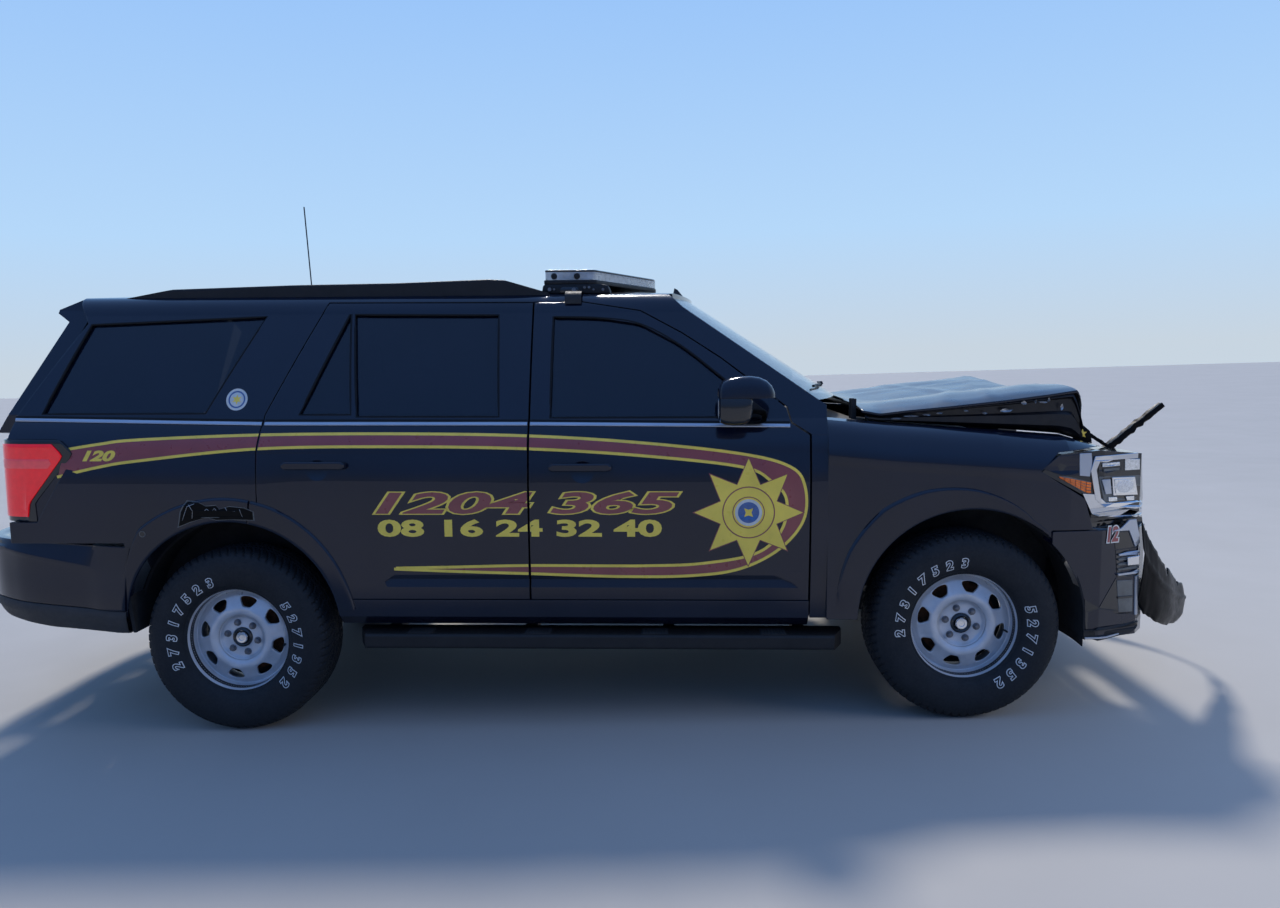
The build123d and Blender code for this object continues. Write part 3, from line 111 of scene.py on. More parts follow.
def material(name, color, rough=0.5, metal=0.0, coat=0.0, coat_rough=0.03, ior=1.5, alpha=1.0, vary=0.12, vscale=5.0,
             rvary=0.06, bump=0.0, bscale=300.0, dust=None, dust_color=(0.19, 0.165, 0.13), edge=0.0, sheen=0.0,
             trans=0.0, emit=None, speck=None, detail=4.0, spec=0.5):
    """A procedural material: blotchy colour and roughness, fine bump, dust by height, rounded edges."""
    m = bpy.data.materials.new(name)
    m.use_nodes = True
    nt = m.node_tree
    p = nt.nodes["Principled BSDF"]
    p.inputs["Metallic"].default_value = metal
    p.inputs["Coat Weight"].default_value = coat
    p.inputs["Coat Roughness"].default_value = coat_rough
    p.inputs["IOR"].default_value = ior
    p.inputs["Alpha"].default_value = alpha
    p.inputs["Sheen Weight"].default_value = sheen
    p.inputs["Transmission Weight"].default_value = trans
    p.inputs["Specular IOR Level"].default_value = spec
    tc = nt.nodes.new("ShaderNodeTexCoord")
    n1 = node(nt, "ShaderNodeTexNoise", Scale=vscale, Detail=detail, Roughness=0.6)
    nt.links.new(tc.outputs["Object"], n1.inputs["Vector"])
    ramp = nt.nodes.new("ShaderNodeValToRGB")
    ramp.color_ramp.elements[0].position = 0.3
    ramp.color_ramp.elements[1].position = 0.7
    ramp.color_ramp.elements[0].color = tuple(c * (1 - vary) for c in color[:3]) + (1,)
    ramp.color_ramp.elements[1].color = tuple(min(1, c * (1 + vary)) for c in color[:3]) + (1,)
    nt.links.new(n1.outputs["Fac"], ramp.inputs["Fac"])
    col = ramp.outputs["Color"]
    n2 = node(nt, "ShaderNodeTexNoise", Scale=vscale * 4.3, Detail=3.0)
    nt.links.new(tc.outputs["Object"], n2.inputs["Vector"])
    rr = nt.nodes.new("ShaderNodeMapRange")
    rr.inputs["From Min"].default_value = 0.3
    rr.inputs["From Max"].default_value = 0.7
    rr.inputs["To Min"].default_value = max(0.0, rough - rvary)
    rr.inputs["To Max"].default_value = min(1.0, rough + rvary)
    nt.links.new(n2.outputs["Fac"], rr.inputs["Value"])
    rgh = rr.outputs["Result"]
    if speck:
        scale, size, scol = speck
        v = node(nt, "ShaderNodeTexVoronoi", Scale=scale)
        nt.links.new(tc.outputs["Object"], v.inputs["Vector"])
        sm = nt.nodes.new("ShaderNodeMapRange")
        sm.inputs["From Min"].default_value = size
        sm.inputs["From Max"].default_value = size * 0.6
        nt.links.new(v.outputs["Distance"], sm.inputs["Value"])
        mx = nt.nodes.new("ShaderNodeMixRGB")
        mx.inputs["Color2"].default_value = tuple(scol) + (1,)
        nt.links.new(sm.outputs["Result"], mx.inputs["Fac"])
        nt.links.new(col, mx.inputs["Color1"])
        col = mx.outputs["Color"]
    if dust:
        z0, z1, amount = dust
        sep = nt.nodes.new("ShaderNodeSeparateXYZ")
        nt.links.new(tc.outputs["Object"], sep.inputs["Vector"])
        dm = nt.nodes.new("ShaderNodeMapRange")
        dm.inputs["From Min"].default_value = z1
        dm.inputs["From Max"].default_value = z0
        dm.inputs["To Max"].default_value = amount
        nt.links.new(sep.outputs["Z"], dm.inputs["Value"])
        n3 = node(nt, "ShaderNodeTexNoise", Scale=9.0, Detail=6.0)
        nt.links.new(tc.outputs["Object"], n3.inputs["Vector"])
        mul = nt.nodes.new("ShaderNodeMath")
        mul.operation = "MULTIPLY"
        nt.links.new(dm.outputs["Result"], mul.inputs[0])
        nt.links.new(n3.outputs["Fac"], mul.inputs[1])
        mx = nt.nodes.new("ShaderNodeMixRGB")
        mx.inputs["Color2"].default_value = tuple(dust_color) + (1,)
        nt.links.new(mul.outputs["Value"], mx.inputs["Fac"])
        nt.links.new(col, mx.inputs["Color1"])
        col = mx.outputs["Color"]
        add = nt.nodes.new("ShaderNodeMath")
        add.operation = "ADD"
        add.use_clamp = True
        nt.links.new(rgh, add.inputs[0])
        nt.links.new(mul.outputs["Value"], add.inputs[1])
        rgh = add.outputs["Value"]
    nt.links.new(col, p.inputs["Base Color"])
    nt.links.new(rgh, p.inputs["Roughness"])
    if emit:
        p.inputs["Emission Color"].default_value = tuple(emit[:3]) + (1,)
        p.inputs["Emission Strength"].default_value = emit[3]
    normal = None
    if edge:
        bv = nt.nodes.new("ShaderNodeBevel")
        bv.samples = 4
        bv.inputs["Radius"].default_value = edge
        normal = bv.outputs["Normal"]
        nt.links.new(normal, p.inputs["Coat Normal"])
    if bump:
        n4 = node(nt, "ShaderNodeTexNoise", Scale=bscale, Detail=3.0)
        nt.links.new(tc.outputs["Object"], n4.inputs["Vector"])
        b = nt.nodes.new("ShaderNodeBump")
        b.inputs["Strength"].default_value = bump
        b.inputs["Distance"].default_value = 0.001
        nt.links.new(n4.outputs["Fac"], b.inputs["Height"])
        if normal is not None:
            nt.links.new(normal, b.inputs["Normal"])
        normal = b.outputs["Normal"]
    if normal is not None:
        nt.links.new(normal, p.inputs["Normal"])
    m.diffuse_color = tuple(color[:3]) + (1,)
    return m


M = {}
M["paint"] = material("navy_black_paint", (0.0035, 0.006, 0.017), rough=0.22, coat=0.85, coat_rough=0.02, vary=0.2, vscale=2.0, rvary=0.03,
                      dust=(0.42, 0.95, 0.05), edge=0.004, spec=0.15)
M["hood"] = material("hood_paint", (0.006, 0.008, 0.016), rough=0.3, coat=0.6, coat_rough=0.08, vary=0.25, vscale=3.0, rvary=0.05, edge=0.003, spec=0.3)
# dark privacy glass: the darkness is the tint; the navy tone of its colour is a painted sky reflection
M["glass"] = material("dark_glass_painted_sky_tint", (0.004, 0.007, 0.016), rough=0.03, coat=0.4, alpha=0.90, vary=0.1, rvary=0.01, spec=0.4)
# windshield: its blue colour is partly the glass tint and partly a painted sky reflection
M["clear"] = material("windshield_glass_painted_sky_blue", (0.015, 0.05, 0.085), rough=0.02, coat=1.0, coat_rough=0.02, alpha=0.62, vary=0.02, vscale=0.8, rvary=0.0)
M["black"] = material("black_trim_plastic", (0.010, 0.010, 0.011), rough=0.48, vary=0.25, vscale=14, bump=0.25, bscale=900, dust=(0.25, 0.8, 0.10), edge=0.002, spec=0.35)
M["gloss"] = material("gloss_black", (0.006, 0.006, 0.007), rough=0.12, coat=0.7, vary=0.2, rvary=0.03, edge=0.002)
M["liner"] = material("wheel_liner_felt", (0.014, 0.0145, 0.016), rough=0.9, vary=0.35, vscale=20, bump=0.7, bscale=500, dust=(0.3, 1.0, 0.15), spec=0.3)
M["rubber"] = material("tyre_rubber", (0.011, 0.012, 0.014), rough=0.66, vary=0.2, vscale=25, bump=0.2, bscale=700, rvary=0.08, dust=(0.0, 0.9, 0.06), spec=0.4)
M["white"] = material("tyre_white_outline", (0.72, 0.72, 0.70), rough=0.6, vary=0.12, vscale=60, bump=0.1, dust=(0.0, 0.9, 0.2))
M["silver"] = material("silver_wheel_paint", (0.62, 0.63, 0.65), rough=0.32, metal=0.35, coat=0.25, coat_rough=0.15, vary=0.10, vscale=12, rvary=0.08,
                       bump=0.05, bscale=900, dust=(0.1, 0.75, 0.22), edge=0.0015)
M["chrome"] = material("chrome", (0.72, 0.73, 0.75), rough=0.09, metal=1.0, vary=0.06, rvary=0.04, edge=0.001)
M["satin"] = material("satin_bright_trim", (0.50, 0.53, 0.58), rough=0.33, metal=0.8, vary=0.05, rvary=0.02)
M["steel"] = material("frame_steel_black", (0.028, 0.027, 0.026), rough=0.6, metal=0.3, vary=0.4, vscale=16, bump=0.4, bscale=250, dust=(0.1, 0.8, 0.3), edge=0.002)
M["rust"] = material("rusty_disc", (0.16, 0.065, 0.03), rough=0.75, metal=0.35, vary=0.5, vscale=40, bump=0.5, bscale=500)
M["alloy"] = material("cast_alloy", (0.25, 0.25, 0.25), rough=0.5, metal=0.8, vary=0.25, vscale=18, bump=0.4, bscale=300, edge=0.003)
M["exhaust"] = material("exhaust_steel", (0.22, 0.19, 0.16), rough=0.5, metal=0.9, vary=0.35, vscale=12, bump=0.2, dust=(0.1, 0.8, 0.25))
M["maroon"] = material("maroon_vinyl", (0.27, 0.055, 0.055), rough=0.32, coat=0.5, coat_rough=0.08, vary=0.10, vscale=8)
M["gold"] = material("gold_vinyl", (0.92, 0.66, 0.08), rough=0.32, coat=0.5, coat_rough=0.08, vary=0.10, vscale=8)
M["blue"] = material("blue_vinyl", (0.05, 0.12, 0.30), rough=0.32, coat=0.5, coat_rough=0.08, vary=0.2, vscale=60)
M["pale"] = material("pale_vinyl", (0.62, 0.62, 0.58), rough=0.4, coat=0.3, vary=0.12, vscale=40)
# red lens: its weak emission is a painted glow, and it also lies on the rear reflectors, which are no lamps
M["red"] = material("red_lens_painted_glow", (0.42, 0.006, 0.008), rough=0.1, coat=0.9, vary=0.18, vscale=30, bump=0.12, bscale=160, emit=(0.8, 0.0, 0.01, 0.32))
# amber marker: its weak emission is a painted glow on an unlit lamp
M["amber"] = material("amber_reflector_painted_glow", (0.75, 0.16, 0.012), rough=0.16, coat=0.8, vary=0.3, vscale=70, bump=0.6, bscale=260, emit=(0.6, 0.12, 0.0, 0.08))
M["lens"] = material("clear_lens", (0.72, 0.75, 0.77), rough=0.05, coat=0.5, alpha=0.26, vary=0.08, rvary=0.02)
M["bulb"] = material("lamp_reflector", (0.75, 0.77, 0.78), rough=0.12, metal=0.9, vary=0.25, vscale=90, bump=0.3, bscale=200)
M["led"] = material("led_module", (0.55, 0.57, 0.58), rough=0.2, metal=0.4, vary=0.35, vscale=120, bump=0.6, bscale=350)
M["fabric"] = material("seat_cloth", (0.030, 0.031, 0.034), rough=0.95, vary=0.25, vscale=60, bump=0.8, bscale=1400, sheen=0.25)
M["inner"] = material("interior_plastic", (0.035, 0.036, 0.039), rough=0.62, vary=0.15, vscale=15, bump=0.4, bscale=1100, edge=0.003)
M["bare"] = material("scraped_metal", (0.42, 0.42, 0.42), rough=0.4, metal=0.9, vary=0.3, vscale=50)
M["torn"] = material("torn_black_plastic", (0.002, 0.002, 0.0025), rough=0.36, coat=0.0, vary=0.4, vscale=10, bump=0.3, bscale=120, spec=0.12)
M["lamp_black"] = material("lamp_surround_black", (0.006, 0.006, 0.007), rough=0.14, coat=0.8, vary=0.2, rvary=0.03, spec=0.4)
M["valance"] = material("bumper_lower_plastic", (0.030, 0.031, 0.033), rough=0.6, vary=0.2, vscale=12, bump=0.5, bscale=900, dust=(0.2, 0.7, 0.12), edge=0.004)
M["nut"] = material("wheel_nut_steel", (0.20, 0.20, 0.21), rough=0.35, metal=0.9, vary=0.3, vscale=60, edge=0.001)
M["mirror"] = material("mirror_face", (0.55, 0.58, 0.62), rough=0.02, metal=1.0, vary=0.03, rvary=0.01)
M["ribbed"] = material("ribbed_clear_lens", (0.62, 0.66, 0.68), rough=0.12, coat=0.6, alpha=0.42, vary=0.15, vscale=40, rvary=0.04, bump=0.5, bscale=60)
M["leaf"] = material("cooling_fins", (0.16, 0.165, 0.17), rough=0.45, metal=0.8, vary=0.3, vscale=30, bump=0.6, bscale=700)
M["cloth_dark"] = material("seat_side_vinyl", (0.022, 0.022, 0.024), rough=0.6, vary=0.2, vscale=40, bump=0.6, bscale=900, sheen=0.1)
M["board"] = material("step_pad_rubber", (0.016, 0.016, 0.017), rough=0.8, vary=0.25, vscale=30, bump=0.8, bscale=700, dust=(0.2, 0.7, 0.2))
M["cream"] = material("unpainted_moulding", (0.55, 0.54, 0.50), rough=0.5, vary=0.12, vscale=30, bump=0.2)
M["hood_inner"] = material("hood_inner_panel", (0.007, 0.007, 0.009), rough=0.35, coat=0.3, coat_rough=0.2, vary=0.5, vscale=16, bump=0.4, bscale=200, spec=0.3)
M["seal"] = material("window_seal_rubber", (0.006, 0.006, 0.007), rough=0.55, vary=0.2, vscale=30, bump=0.3, bscale=800, spec=0.25)
# light guide in the tail lamp: its paler red and weak emission are a painted highlight on a real guide
M["red_pale"] = material("tail_light_guide_painted_highlight", (0.60, 0.05, 0.06), rough=0.12, coat=0.9, vary=0.15, vscale=30, bump=0.2, bscale=160, emit=(0.6, 0.05, 0.06, 0.25))
M["lens_white"] = material("reverse_lamp_lens", (0.55, 0.55, 0.55), rough=0.12, coat=0.8, vary=0.12, vscale=60, bump=0.4, bscale=220)
M["grey"] = material("grey_plastic", (0.13, 0.135, 0.13), rough=0.4, metal=0.2, vary=0.2, vscale=20, bump=0.2)


def dress(name, key):
    """Gives a carried-over CAD node a material."""
    if name in nodes:
        o = nodes[name]
        if not o.material_slots:
            o.data.materials.append(M[key])
        for s in o.material_slots:
            s.material = M[key]


SKIN = {
    "paint": ["body_side_right", "body_side_left", "roof_panel", "front_door_right", "front_door_left", "rear_door_right", "rear_door_left",
              "fender_right", "fender_left", "liftgate", "front_bumper", "rear_bumper"],
    "hood": ["hood"],
    "glass": ["front_door_glass_right", "front_door_glass_left", "rear_door_glass_right", "rear_door_glass_left", "quarter_windows", "liftgate_glass"],
    "clear": ["windshield"],
    "gloss": ["mirror_right", "mirror_left", "roof_antennas", "headlights"],
    "black": ["running_boards", "roof_rails", "light_bar", "wipers", "grille_remains", "fuel_tank"],
    "liner": ["wheel_liners"],
    "torn": ["bumper_cover"],
    "lens": ["light_bar_lens"],
    "red": ["tail_lights"],
    "silver": ["wheel_front_right", "wheel_front_left", "wheel_rear_right", "wheel_rear_left"],
    "rubber": ["tyre_front_right", "tyre_front_left", "tyre_rear_right", "tyre_rear_left", "spare_wheel"],
    "steel": ["cowl_and_firewall", "front_structure", "chassis_frame", "floor_pan", "driveline", "front_suspension", "rear_suspension",
              "knuckle_front_right", "knuckle_front_left"],
    "alloy": ["engine"],
    "exhaust": ["exhaust"],
    "fabric": ["front_seats", "rear_seats"],
    "inner": ["dashboard", "steering_wheel"],
}
for key, names in SKIN.items():
    for n in names:
        dress(n, key)

BODY = "fixed_body"
DOOR = {("front", -1): "front_right_door", ("front", 1): "front_left_door", ("rear", -1): "rear_right_door", ("rear", 1): "rear_left_door"}
SIDE_NAME = {-1: "right", 1: "left"}
PAINT_SLOT = {"paint": "navy_paint", "maroon": "navy_paint"}


# ------------------------------------------------------------------ mesh helpers
def piece(name, verts, faces, mat, body, smooth=True):
    me = bpy.data.meshes.new(name)
    me.from_pydata([tuple(v) for v in verts], [], faces)
    me.validate()
    ob = bpy.data.objects.new(name, me)
    bpy.context.collection.objects.link(ob)
    me.materials.append(M[mat] if isinstance(mat, str) else mat)
    if smooth:
        me.polygons.foreach_set("use_smooth", [True] * len(me.polygons))
    me.update()
    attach(ob, body)
    return ob


def from_bm(name, bm, mat, body, smooth=False):
    me = bpy.data.meshes.new(name)
    bm.to_mesh(me)
    bm.free()
    ob = bpy.data.objects.new(name, me)
    bpy.context.collection.objects.link(ob)
    me.materials.append(M[mat] if isinstance(mat, str) else mat)
    if smooth:
        me.polygons.foreach_set("use_smooth", [True] * len(me.polygons))
    me.update()
    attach(ob, body)
    return ob


def smooth_line(pts, per=8, closed=False):
    """Catmull-Rom through the points."""
    out = []
    n = len(pts)
    rng = range(n if closed else n - 1)
    for i in rng:
        p = [pts[(i + k) % n] if closed else pts[min(max(i + k, 0), n - 1)] for k in (-1, 0, 1, 2)]
        for j in range(per):
            t = j / per
            out.append(tuple(0.5 * (2 * p[1][k] + (p[2][k] - p[0][k]) * t + (2 * p[0][k] - 5 * p[1][k] + 4 * p[2][k] - p[3][k]) * t * t
                                    + (3 * p[1][k] - p[0][k] - 3 * p[2][k] + p[3][k]) * t ** 3) for k in range(len(pts[0]))))
    if not closed:
        out.append(tuple(pts[-1]))
    return out


def offset_line(pts, d):
    """Polyline moved d to its left."""
    out = []
    for i, p in enumerate(pts):
        a, b = pts[max(i - 1, 0)], pts[min(i + 1, len(pts) - 1)]
        dx, dz = b[0] - a[0], b[1] - a[1]
        l = math.hypot(dx, dz) or 1
        out.append((p[0] - dz / l * d, p[1] + dx / l * d))
    return out


def on_side(name, faces2d, mat, body, side=-1, off=0.7, clip=(), zstep=14.0, slot="navy_paint", surf=half, smooth=True, thick=0.0):
    """Flat (x, z) faces laid on the body side. clip holds (point, normal) lines; the part against the normal is kept."""
    bm = bmesh.new()
    for f in faces2d:
        try:
            bm.faces.new([bm.verts.new((p[0], p[1], 0)) for p in f])
        except ValueError:
            pass
    bmesh.ops.remove_doubles(bm, verts=bm.verts, dist=0.01)
    for co, no in clip:
        g = bm.verts[:] + bm.edges[:] + bm.faces[:]
        bmesh.ops.bisect_plane(bm, geom=g, plane_co=(co[0], co[1], 0), plane_no=(no[0], no[1], 0), clear_outer=True)
    if not bm.verts:
        bm.free()
        return None
    zs = [v.co.y for v in bm.verts]
    z = math.floor(min(zs) / zstep) * zstep + zstep
    while z < max(zs):
        g = bm.verts[:] + bm.edges[:] + bm.faces[:]
        bmesh.ops.bisect_plane(bm, geom=g, plane_co=(0, z, 0), plane_no=(0, 1, 0))
        z += zstep
    bmesh.ops.triangulate(bm, faces=bm.faces[:])
    for v in bm.verts:
        x, zz = v.co.x, v.co.y
        v.co = lv(x, side * (surf(x, zz) + off), zz)
    bm.normal_update()
    for f in bm.faces:
        if f.normal.y * side < 0:
            f.normal_flip()
    return from_bm(name, bm, mat, body, smooth=smooth)


def ribbon(a, b):
    """Quads between two polylines of equal length."""
    return [(a[i], a[i + 1], b[i + 1], b[i]) for i in range(len(a) - 1)]


def tube(name, pts, r, mat, body, n=10, closed=False):
    """Round tube along points given in metres."""
    verts, faces = [], []
    m = len(pts)
    up = Vector((0, 0, 1))
    for i, p in enumerate(pts):
        p = Vector(p)
        a = Vector(pts[(i - 1) % m] if closed else pts[max(i - 1, 0)])
        b = Vector(pts[(i + 1) % m] if closed else pts[min(i + 1, m - 1)])
        t = (b - a).normalized()
        s = t.cross(up)
        if s.length < 1e-3:
            s = t.cross(Vector((0, 1, 0)))
        s.normalize()
        u = s.cross(t)
        rr = r[i] if isinstance(r, (list, tuple)) else r
        for k in range(n):
            w = 2 * math.pi * k / n
            verts.append(p + s * math.cos(w) * rr + u * math.sin(w) * rr)
    for i in range(m if closed else m - 1):
        j = (i + 1) % m
        for k in range(n):
            faces.append((i * n + k, i * n + (k + 1) % n, j * n + (k + 1) % n, j * n + k))
    if not closed:
        faces.append(tuple(range(n))[::-1])
        faces.append(tuple(range((m - 1) * n, m * n)))
    return piece(name, verts, faces, mat, body)


def slab(name, outline, y0, y1, mat, body, bevel=3.0, level=True, segs=2):
    """(x, z) outline extruded from y0 to y1, edges rounded."""
    bm = bmesh.new()
    a = [bm.verts.new((p[0], y0, p[1])) for p in outline]
    f = bm.faces.new(a)
    r = bmesh.ops.extrude_face_region(bm, geom=[f])
    for v in r["geom"]:
        if isinstance(v, bmesh.types.BMVert):
            v.co.y = y1
    bmesh.ops.recalc_face_normals(bm, faces=bm.faces[:])
    if bevel:
        es = [e for e in bm.edges if len(e.link_faces) == 2 and e.calc_face_angle(0) > 0.4]
        bmesh.ops.bevel(bm, geom=es, offset=bevel, segments=segs, affect="EDGES", profile=0.5, clamp_overlap=True)
    for v in bm.verts:
        v.co = lv(v.co.x, v.co.y, v.co.z) if level else Vector((v.co.x / 1000, v.co.y / 1000, v.co.z / 1000))
    ob = from_bm(name, bm, mat, body, smooth=True)
    ob.data.set_sharp_from_angle(angle=0.6)
    return ob


def box_piece(bm, c, s, rot=None, bevel=0.0):
    """Adds a bevelled box to a bmesh, centre c and full size s, any frame."""
    r = bmesh.ops.create_cube(bm, size=1.0)
    vs = r["verts"]
    bmesh.ops.scale(bm, vec=s, verts=vs)
    if bevel:
        es = list({e for v in vs for e in v.link_edges})
        rr = bmesh.ops.bevel(bm, geom=es, offset=bevel, segments=2, affect="EDGES", profile=0.5, clamp_overlap=True)
        vs = list(set(rr["verts"]) | {v for v in vs if v.is_valid})
    if rot is not None:
        bmesh.ops.rotate(bm, cent=(0, 0, 0), matrix=rot, verts=vs)
    bmesh.ops.translate(bm, vec=c, verts=vs)


# ------------------------------------------------------------------ livery
OUTER = [(-2243, 1206), (-2100, 1228), (-1943, 1245), (-1426, 1264), (-827, 1267), (-285, 1257), (184, 1228), (598, 1182), (803, 1129), (869, 1046),
         (866, 900), (765, 773), (599, 687), (391, 657), (100, 653), (-290, 665), (-600, 674), (-858, 684)]
INNER = [(-2282, 1078), (-2110, 1118), (-1930, 1146), (-1418, 1195), (-822, 1202), (-282, 1192), (184, 1163), (597, 1117), (721, 1059), (783, 984),
         (763, 858), (661, 764), (433, 721), (220, 712), (60, 711), (-289, 712), (-600, 705), (-849, 700)]
outer = smooth_line(OUTER, 10)
inner = smooth_line(INNER, 10)
EDGE_W = 12.0
REAR_CUT_POINT, REAR_CUT_NORMAL = (-1428.0, 1186.0), (0.989, 0.148)
PANELS = {
    "quarter": ("fixed_body", [((-1432.5, 1186), (0.989, -0.148))]),
    "rear": ("rear", [((-1423.5, 1186), (-0.989, 0.148)), ((-287.5, 0), (1, 0))]),
    "front": ("front", [((-276.5, 0), (-1, 0)), ((884.5, 0), (1, 0))]),
}


def across(name, faces, mat, side, off, which=("quarter", "rear", "front"), **kw):
    """Lays faces on the side, cut at the shut lines so each part moves with its door."""
    for w in which:
        body, clip = PANELS[w]
        if w != "quarter":
            body = DOOR[(w, side)]
        on_side(f"{name}_{w}_{SIDE_NAME[side]}", faces, mat, body, side=side, off=off, clip=clip, **kw)


def text_faces(body, size, shear=0.0, bold=0.0, center=(0, 0), stretch=1.0, spacing=1.0):
    """Outline of digits in the built-in font, as flat faces in (x, z) mm."""
    cu = bpy.data.curves.new("digits", "FONT")
    cu.body = body
    cu.size = size
    cu.shear = shear
    cu.offset = bold
    cu.space_character = spacing
    cu.align_x = "CENTER"
    cu.align_y = "CENTER"
    cu.resolution_u = 4
    ob = bpy.data.objects.new("digits", cu)
    me = bpy.data.meshes.new_from_object(ob)
    out = []
    for p in me.polygons:
        out.append([(me.vertices[i].co.x * stretch + center[0], me.vertices[i].co.y + center[1]) for i in p.vertices])
    bpy.data.objects.remove(ob)
    bpy.data.curves.remove(cu)
    bpy.data.meshes.remove(me)
    return out


def fit(faces, box, ref=None):
    """Scales flat faces so that ref (or the faces) fill the box x0, x1, z0, z1."""
    pts = [p for f in (ref or faces) for p in f]
    a0, a1 = min(p[0] for p in pts), max(p[0] for p in pts)
    b0, b1 = min(p[1] for p in pts), max(p[1] for p in pts)
    kx, kz = (box[1] - box[0]) / (a1 - a0), (box[3] - box[2]) / (b1 - b0)
    return [[(box[0] + (p[0] - a0) * kx, box[2] + (p[1] - b0) * kz) for p in f] for f in faces]


def mirror_x(faces, about):
    return [[(2 * about - p[0], p[1]) for p in f][::-1] for f in faces]


def star(c, r1, r2, n, turn=90.0):
    return [(c[0] + (r1 if i % 2 == 0 else r2) * math.cos(math.radians(turn + 180.0 * i / n)),
             c[1] + (r1 if i % 2 == 0 else r2) * math.sin(math.radians(turn + 180.0 * i / n))) for i in range(2 * n)]


def disc(c, r, n=48):
    return [(c[0] + r * math.cos(2 * math.pi * i / n), c[1] + r * math.sin(2 * math.pi * i / n)) for i in range(n)]


def ring(c, r0, r1, n=64):
    a, b = disc(c, r0, n), disc(c, r1, n)
    return [(a[i], a[(i + 1) % n], b[(i + 1) % n], b[i]) for i in range(n)]


STAR_C = (633, 932)
for side in (-1, 1):
    across("stripe", ribbon(outer, inner), "maroon", side, 0.5)
    across("stripe_edge_outer", ribbon(outer, offset_line(outer, -EDGE_W)), "gold", side, 0.9)
    across("stripe_edge_inner", ribbon(inner, offset_line(inner, EDGE_W)), "gold", side, 0.9)
    raw = text_faces("1204 365", 130, shear=0.25, bold=8.0)
    raw_in = text_faces("1204 365", 130, shear=0.25, bold=3.6)
    big = fit(raw, (-942, 362, 922, 1026))
    big_in = fit(raw_in, (-942, 362, 922, 1026), raw)
    small = fit(text_faces("08 16 24 32 40", 100, bold=3.6), (-920, 274, 829, 904))
    if side > 0:
        big, big_in, small = (mirror_x(f, -300) for f in (big, big_in, small))
    across("unit_number_edge", big, "gold", side, 0.7, which=("rear", "front"))
    across("unit_number", big_in, "maroon", side, 1.1, which=("rear", "front"))
    across("lower_number", small, "gold", side, 0.7, which=("rear", "front"))
    door = DOOR[("front", side)]
    sn = SIDE_NAME[side]
    on_side(f"badge_star_edge_{sn}", [star(STAR_C, 233, 128, 8, 90)], "maroon", door, side, 1.1, clip=[((884, 0), (1, 0))])
    on_side(f"badge_star_{sn}", [star(STAR_C, 224, 124, 8, 90)], "gold", door, side, 1.4, clip=[((884, 0), (1, 0))])
    on_side(f"badge_ring_{sn}", ring(STAR_C, 104, 109), "maroon", door, side, 1.8)
    on_side(f"badge_ring_inner_{sn}", ring(STAR_C, 63, 67), "maroon", door, side, 1.8)
    on_side(f"badge_disc_{sn}", [disc(STAR_C, 56)], "pale", door, side, 1.8)
    on_side(f"badge_centre_{sn}", [disc(STAR_C, 44)], "blue", door, side, 2.1)
    on_side(f"badge_core_{sn}", [star(STAR_C, 26, 12, 4, 45)], "gold", door, side, 2.4)
    num = fit(text_faces("120", 60, shear=0.3, bold=3), (-2172, -2030, 1150, 1196))
    on_side(f"quarter_number_{sn}", mirror_x(num, -2105) if side > 0 else num, "gold", BODY, side, 0.9)
    on_side(f"pillar_sticker_{sn}", [disc((-1535, 1405), 46)], "pale", BODY, side, 0.8)
    on_side(f"pillar_sticker_ring_{sn}", ring((-1535, 1405), 30, 36), "blue", BODY, side, 1.1)
    on_side(f"pillar_sticker_core_{sn}", [star((-1535, 1405), 22, 10, 6)], "gold", BODY, side, 1.1)

# ------------------------------------------------------------------ tyres
RIM_Y = 0.962


def grid_piece(name, rows, mat, body, closed_u=True, closed_v=False):
    """Mesh from rows of equal length; u runs along a row, v over the rows."""
    nv, nu = len(rows), len(rows[0])
    verts = [p for r in rows for p in r]
    faces = []
    for v in range(nv if closed_v else nv - 1):
        w = (v + 1) % nv
        for u in range(nu if closed_u else nu - 1):
            t = (u + 1) % nu
            faces.append((v * nu + u, v * nu + t, w * nu + t, w * nu + u))
    return piece(name, verts, faces, mat, body)


# outer half of the section from the bead to the shoulder: radius, distance from the centreline
WALL_OUT = [(224, 959), (233.6, 963), (238, 969), (247, 976), (258, 981), (275, 986), (300, 989), (325, 989), (345, 986), (360, 982), (372, 976),
            (381, 970), (389, 961), (395, 950), (399, 938), (401, 926)]
WALL_IN = [(401, 788), (399, 776), (395, 764), (389, 753), (381, 744), (372, 738), (360, 733), (345, 729), (325, 726), (300, 726), (275, 729),
           (258, 734), (247, 739), (238, 746), (233.6, 752), (224, 756)]
N_ROUND = 420
PITCH = 70


def tread_depth(y, a):
    """Groove depth in mm at lateral place y (mm from the tread's middle) and angle a in turns."""
    p = a * PITCH
    zig = abs((p * 1.0) % 1 - 0.5) * 2 - 0.5
    for y0, w, amp in ((-36, 8.0, 7.0), (36, 8.0, 7.0), (0, 6.0, 5.0)):
        if abs(y - y0 - zig * amp) < w / 2:
            return 9.0
    u = abs(y)
    f = (p + (0.012 * y)) % 1
    if u > 46:
        if f < 0.20:
            return 8.5
        if abs(f - 0.6) < 0.035 and u < 66:
            return 4.0
    elif u > 8:
        f2 = (p + 0.5 + 0.018 * y) % 1
        if f2 < 0.14:
            return 8.0
        if abs(f2 - 0.57) < 0.035:
            return 4.0
    return 0.0


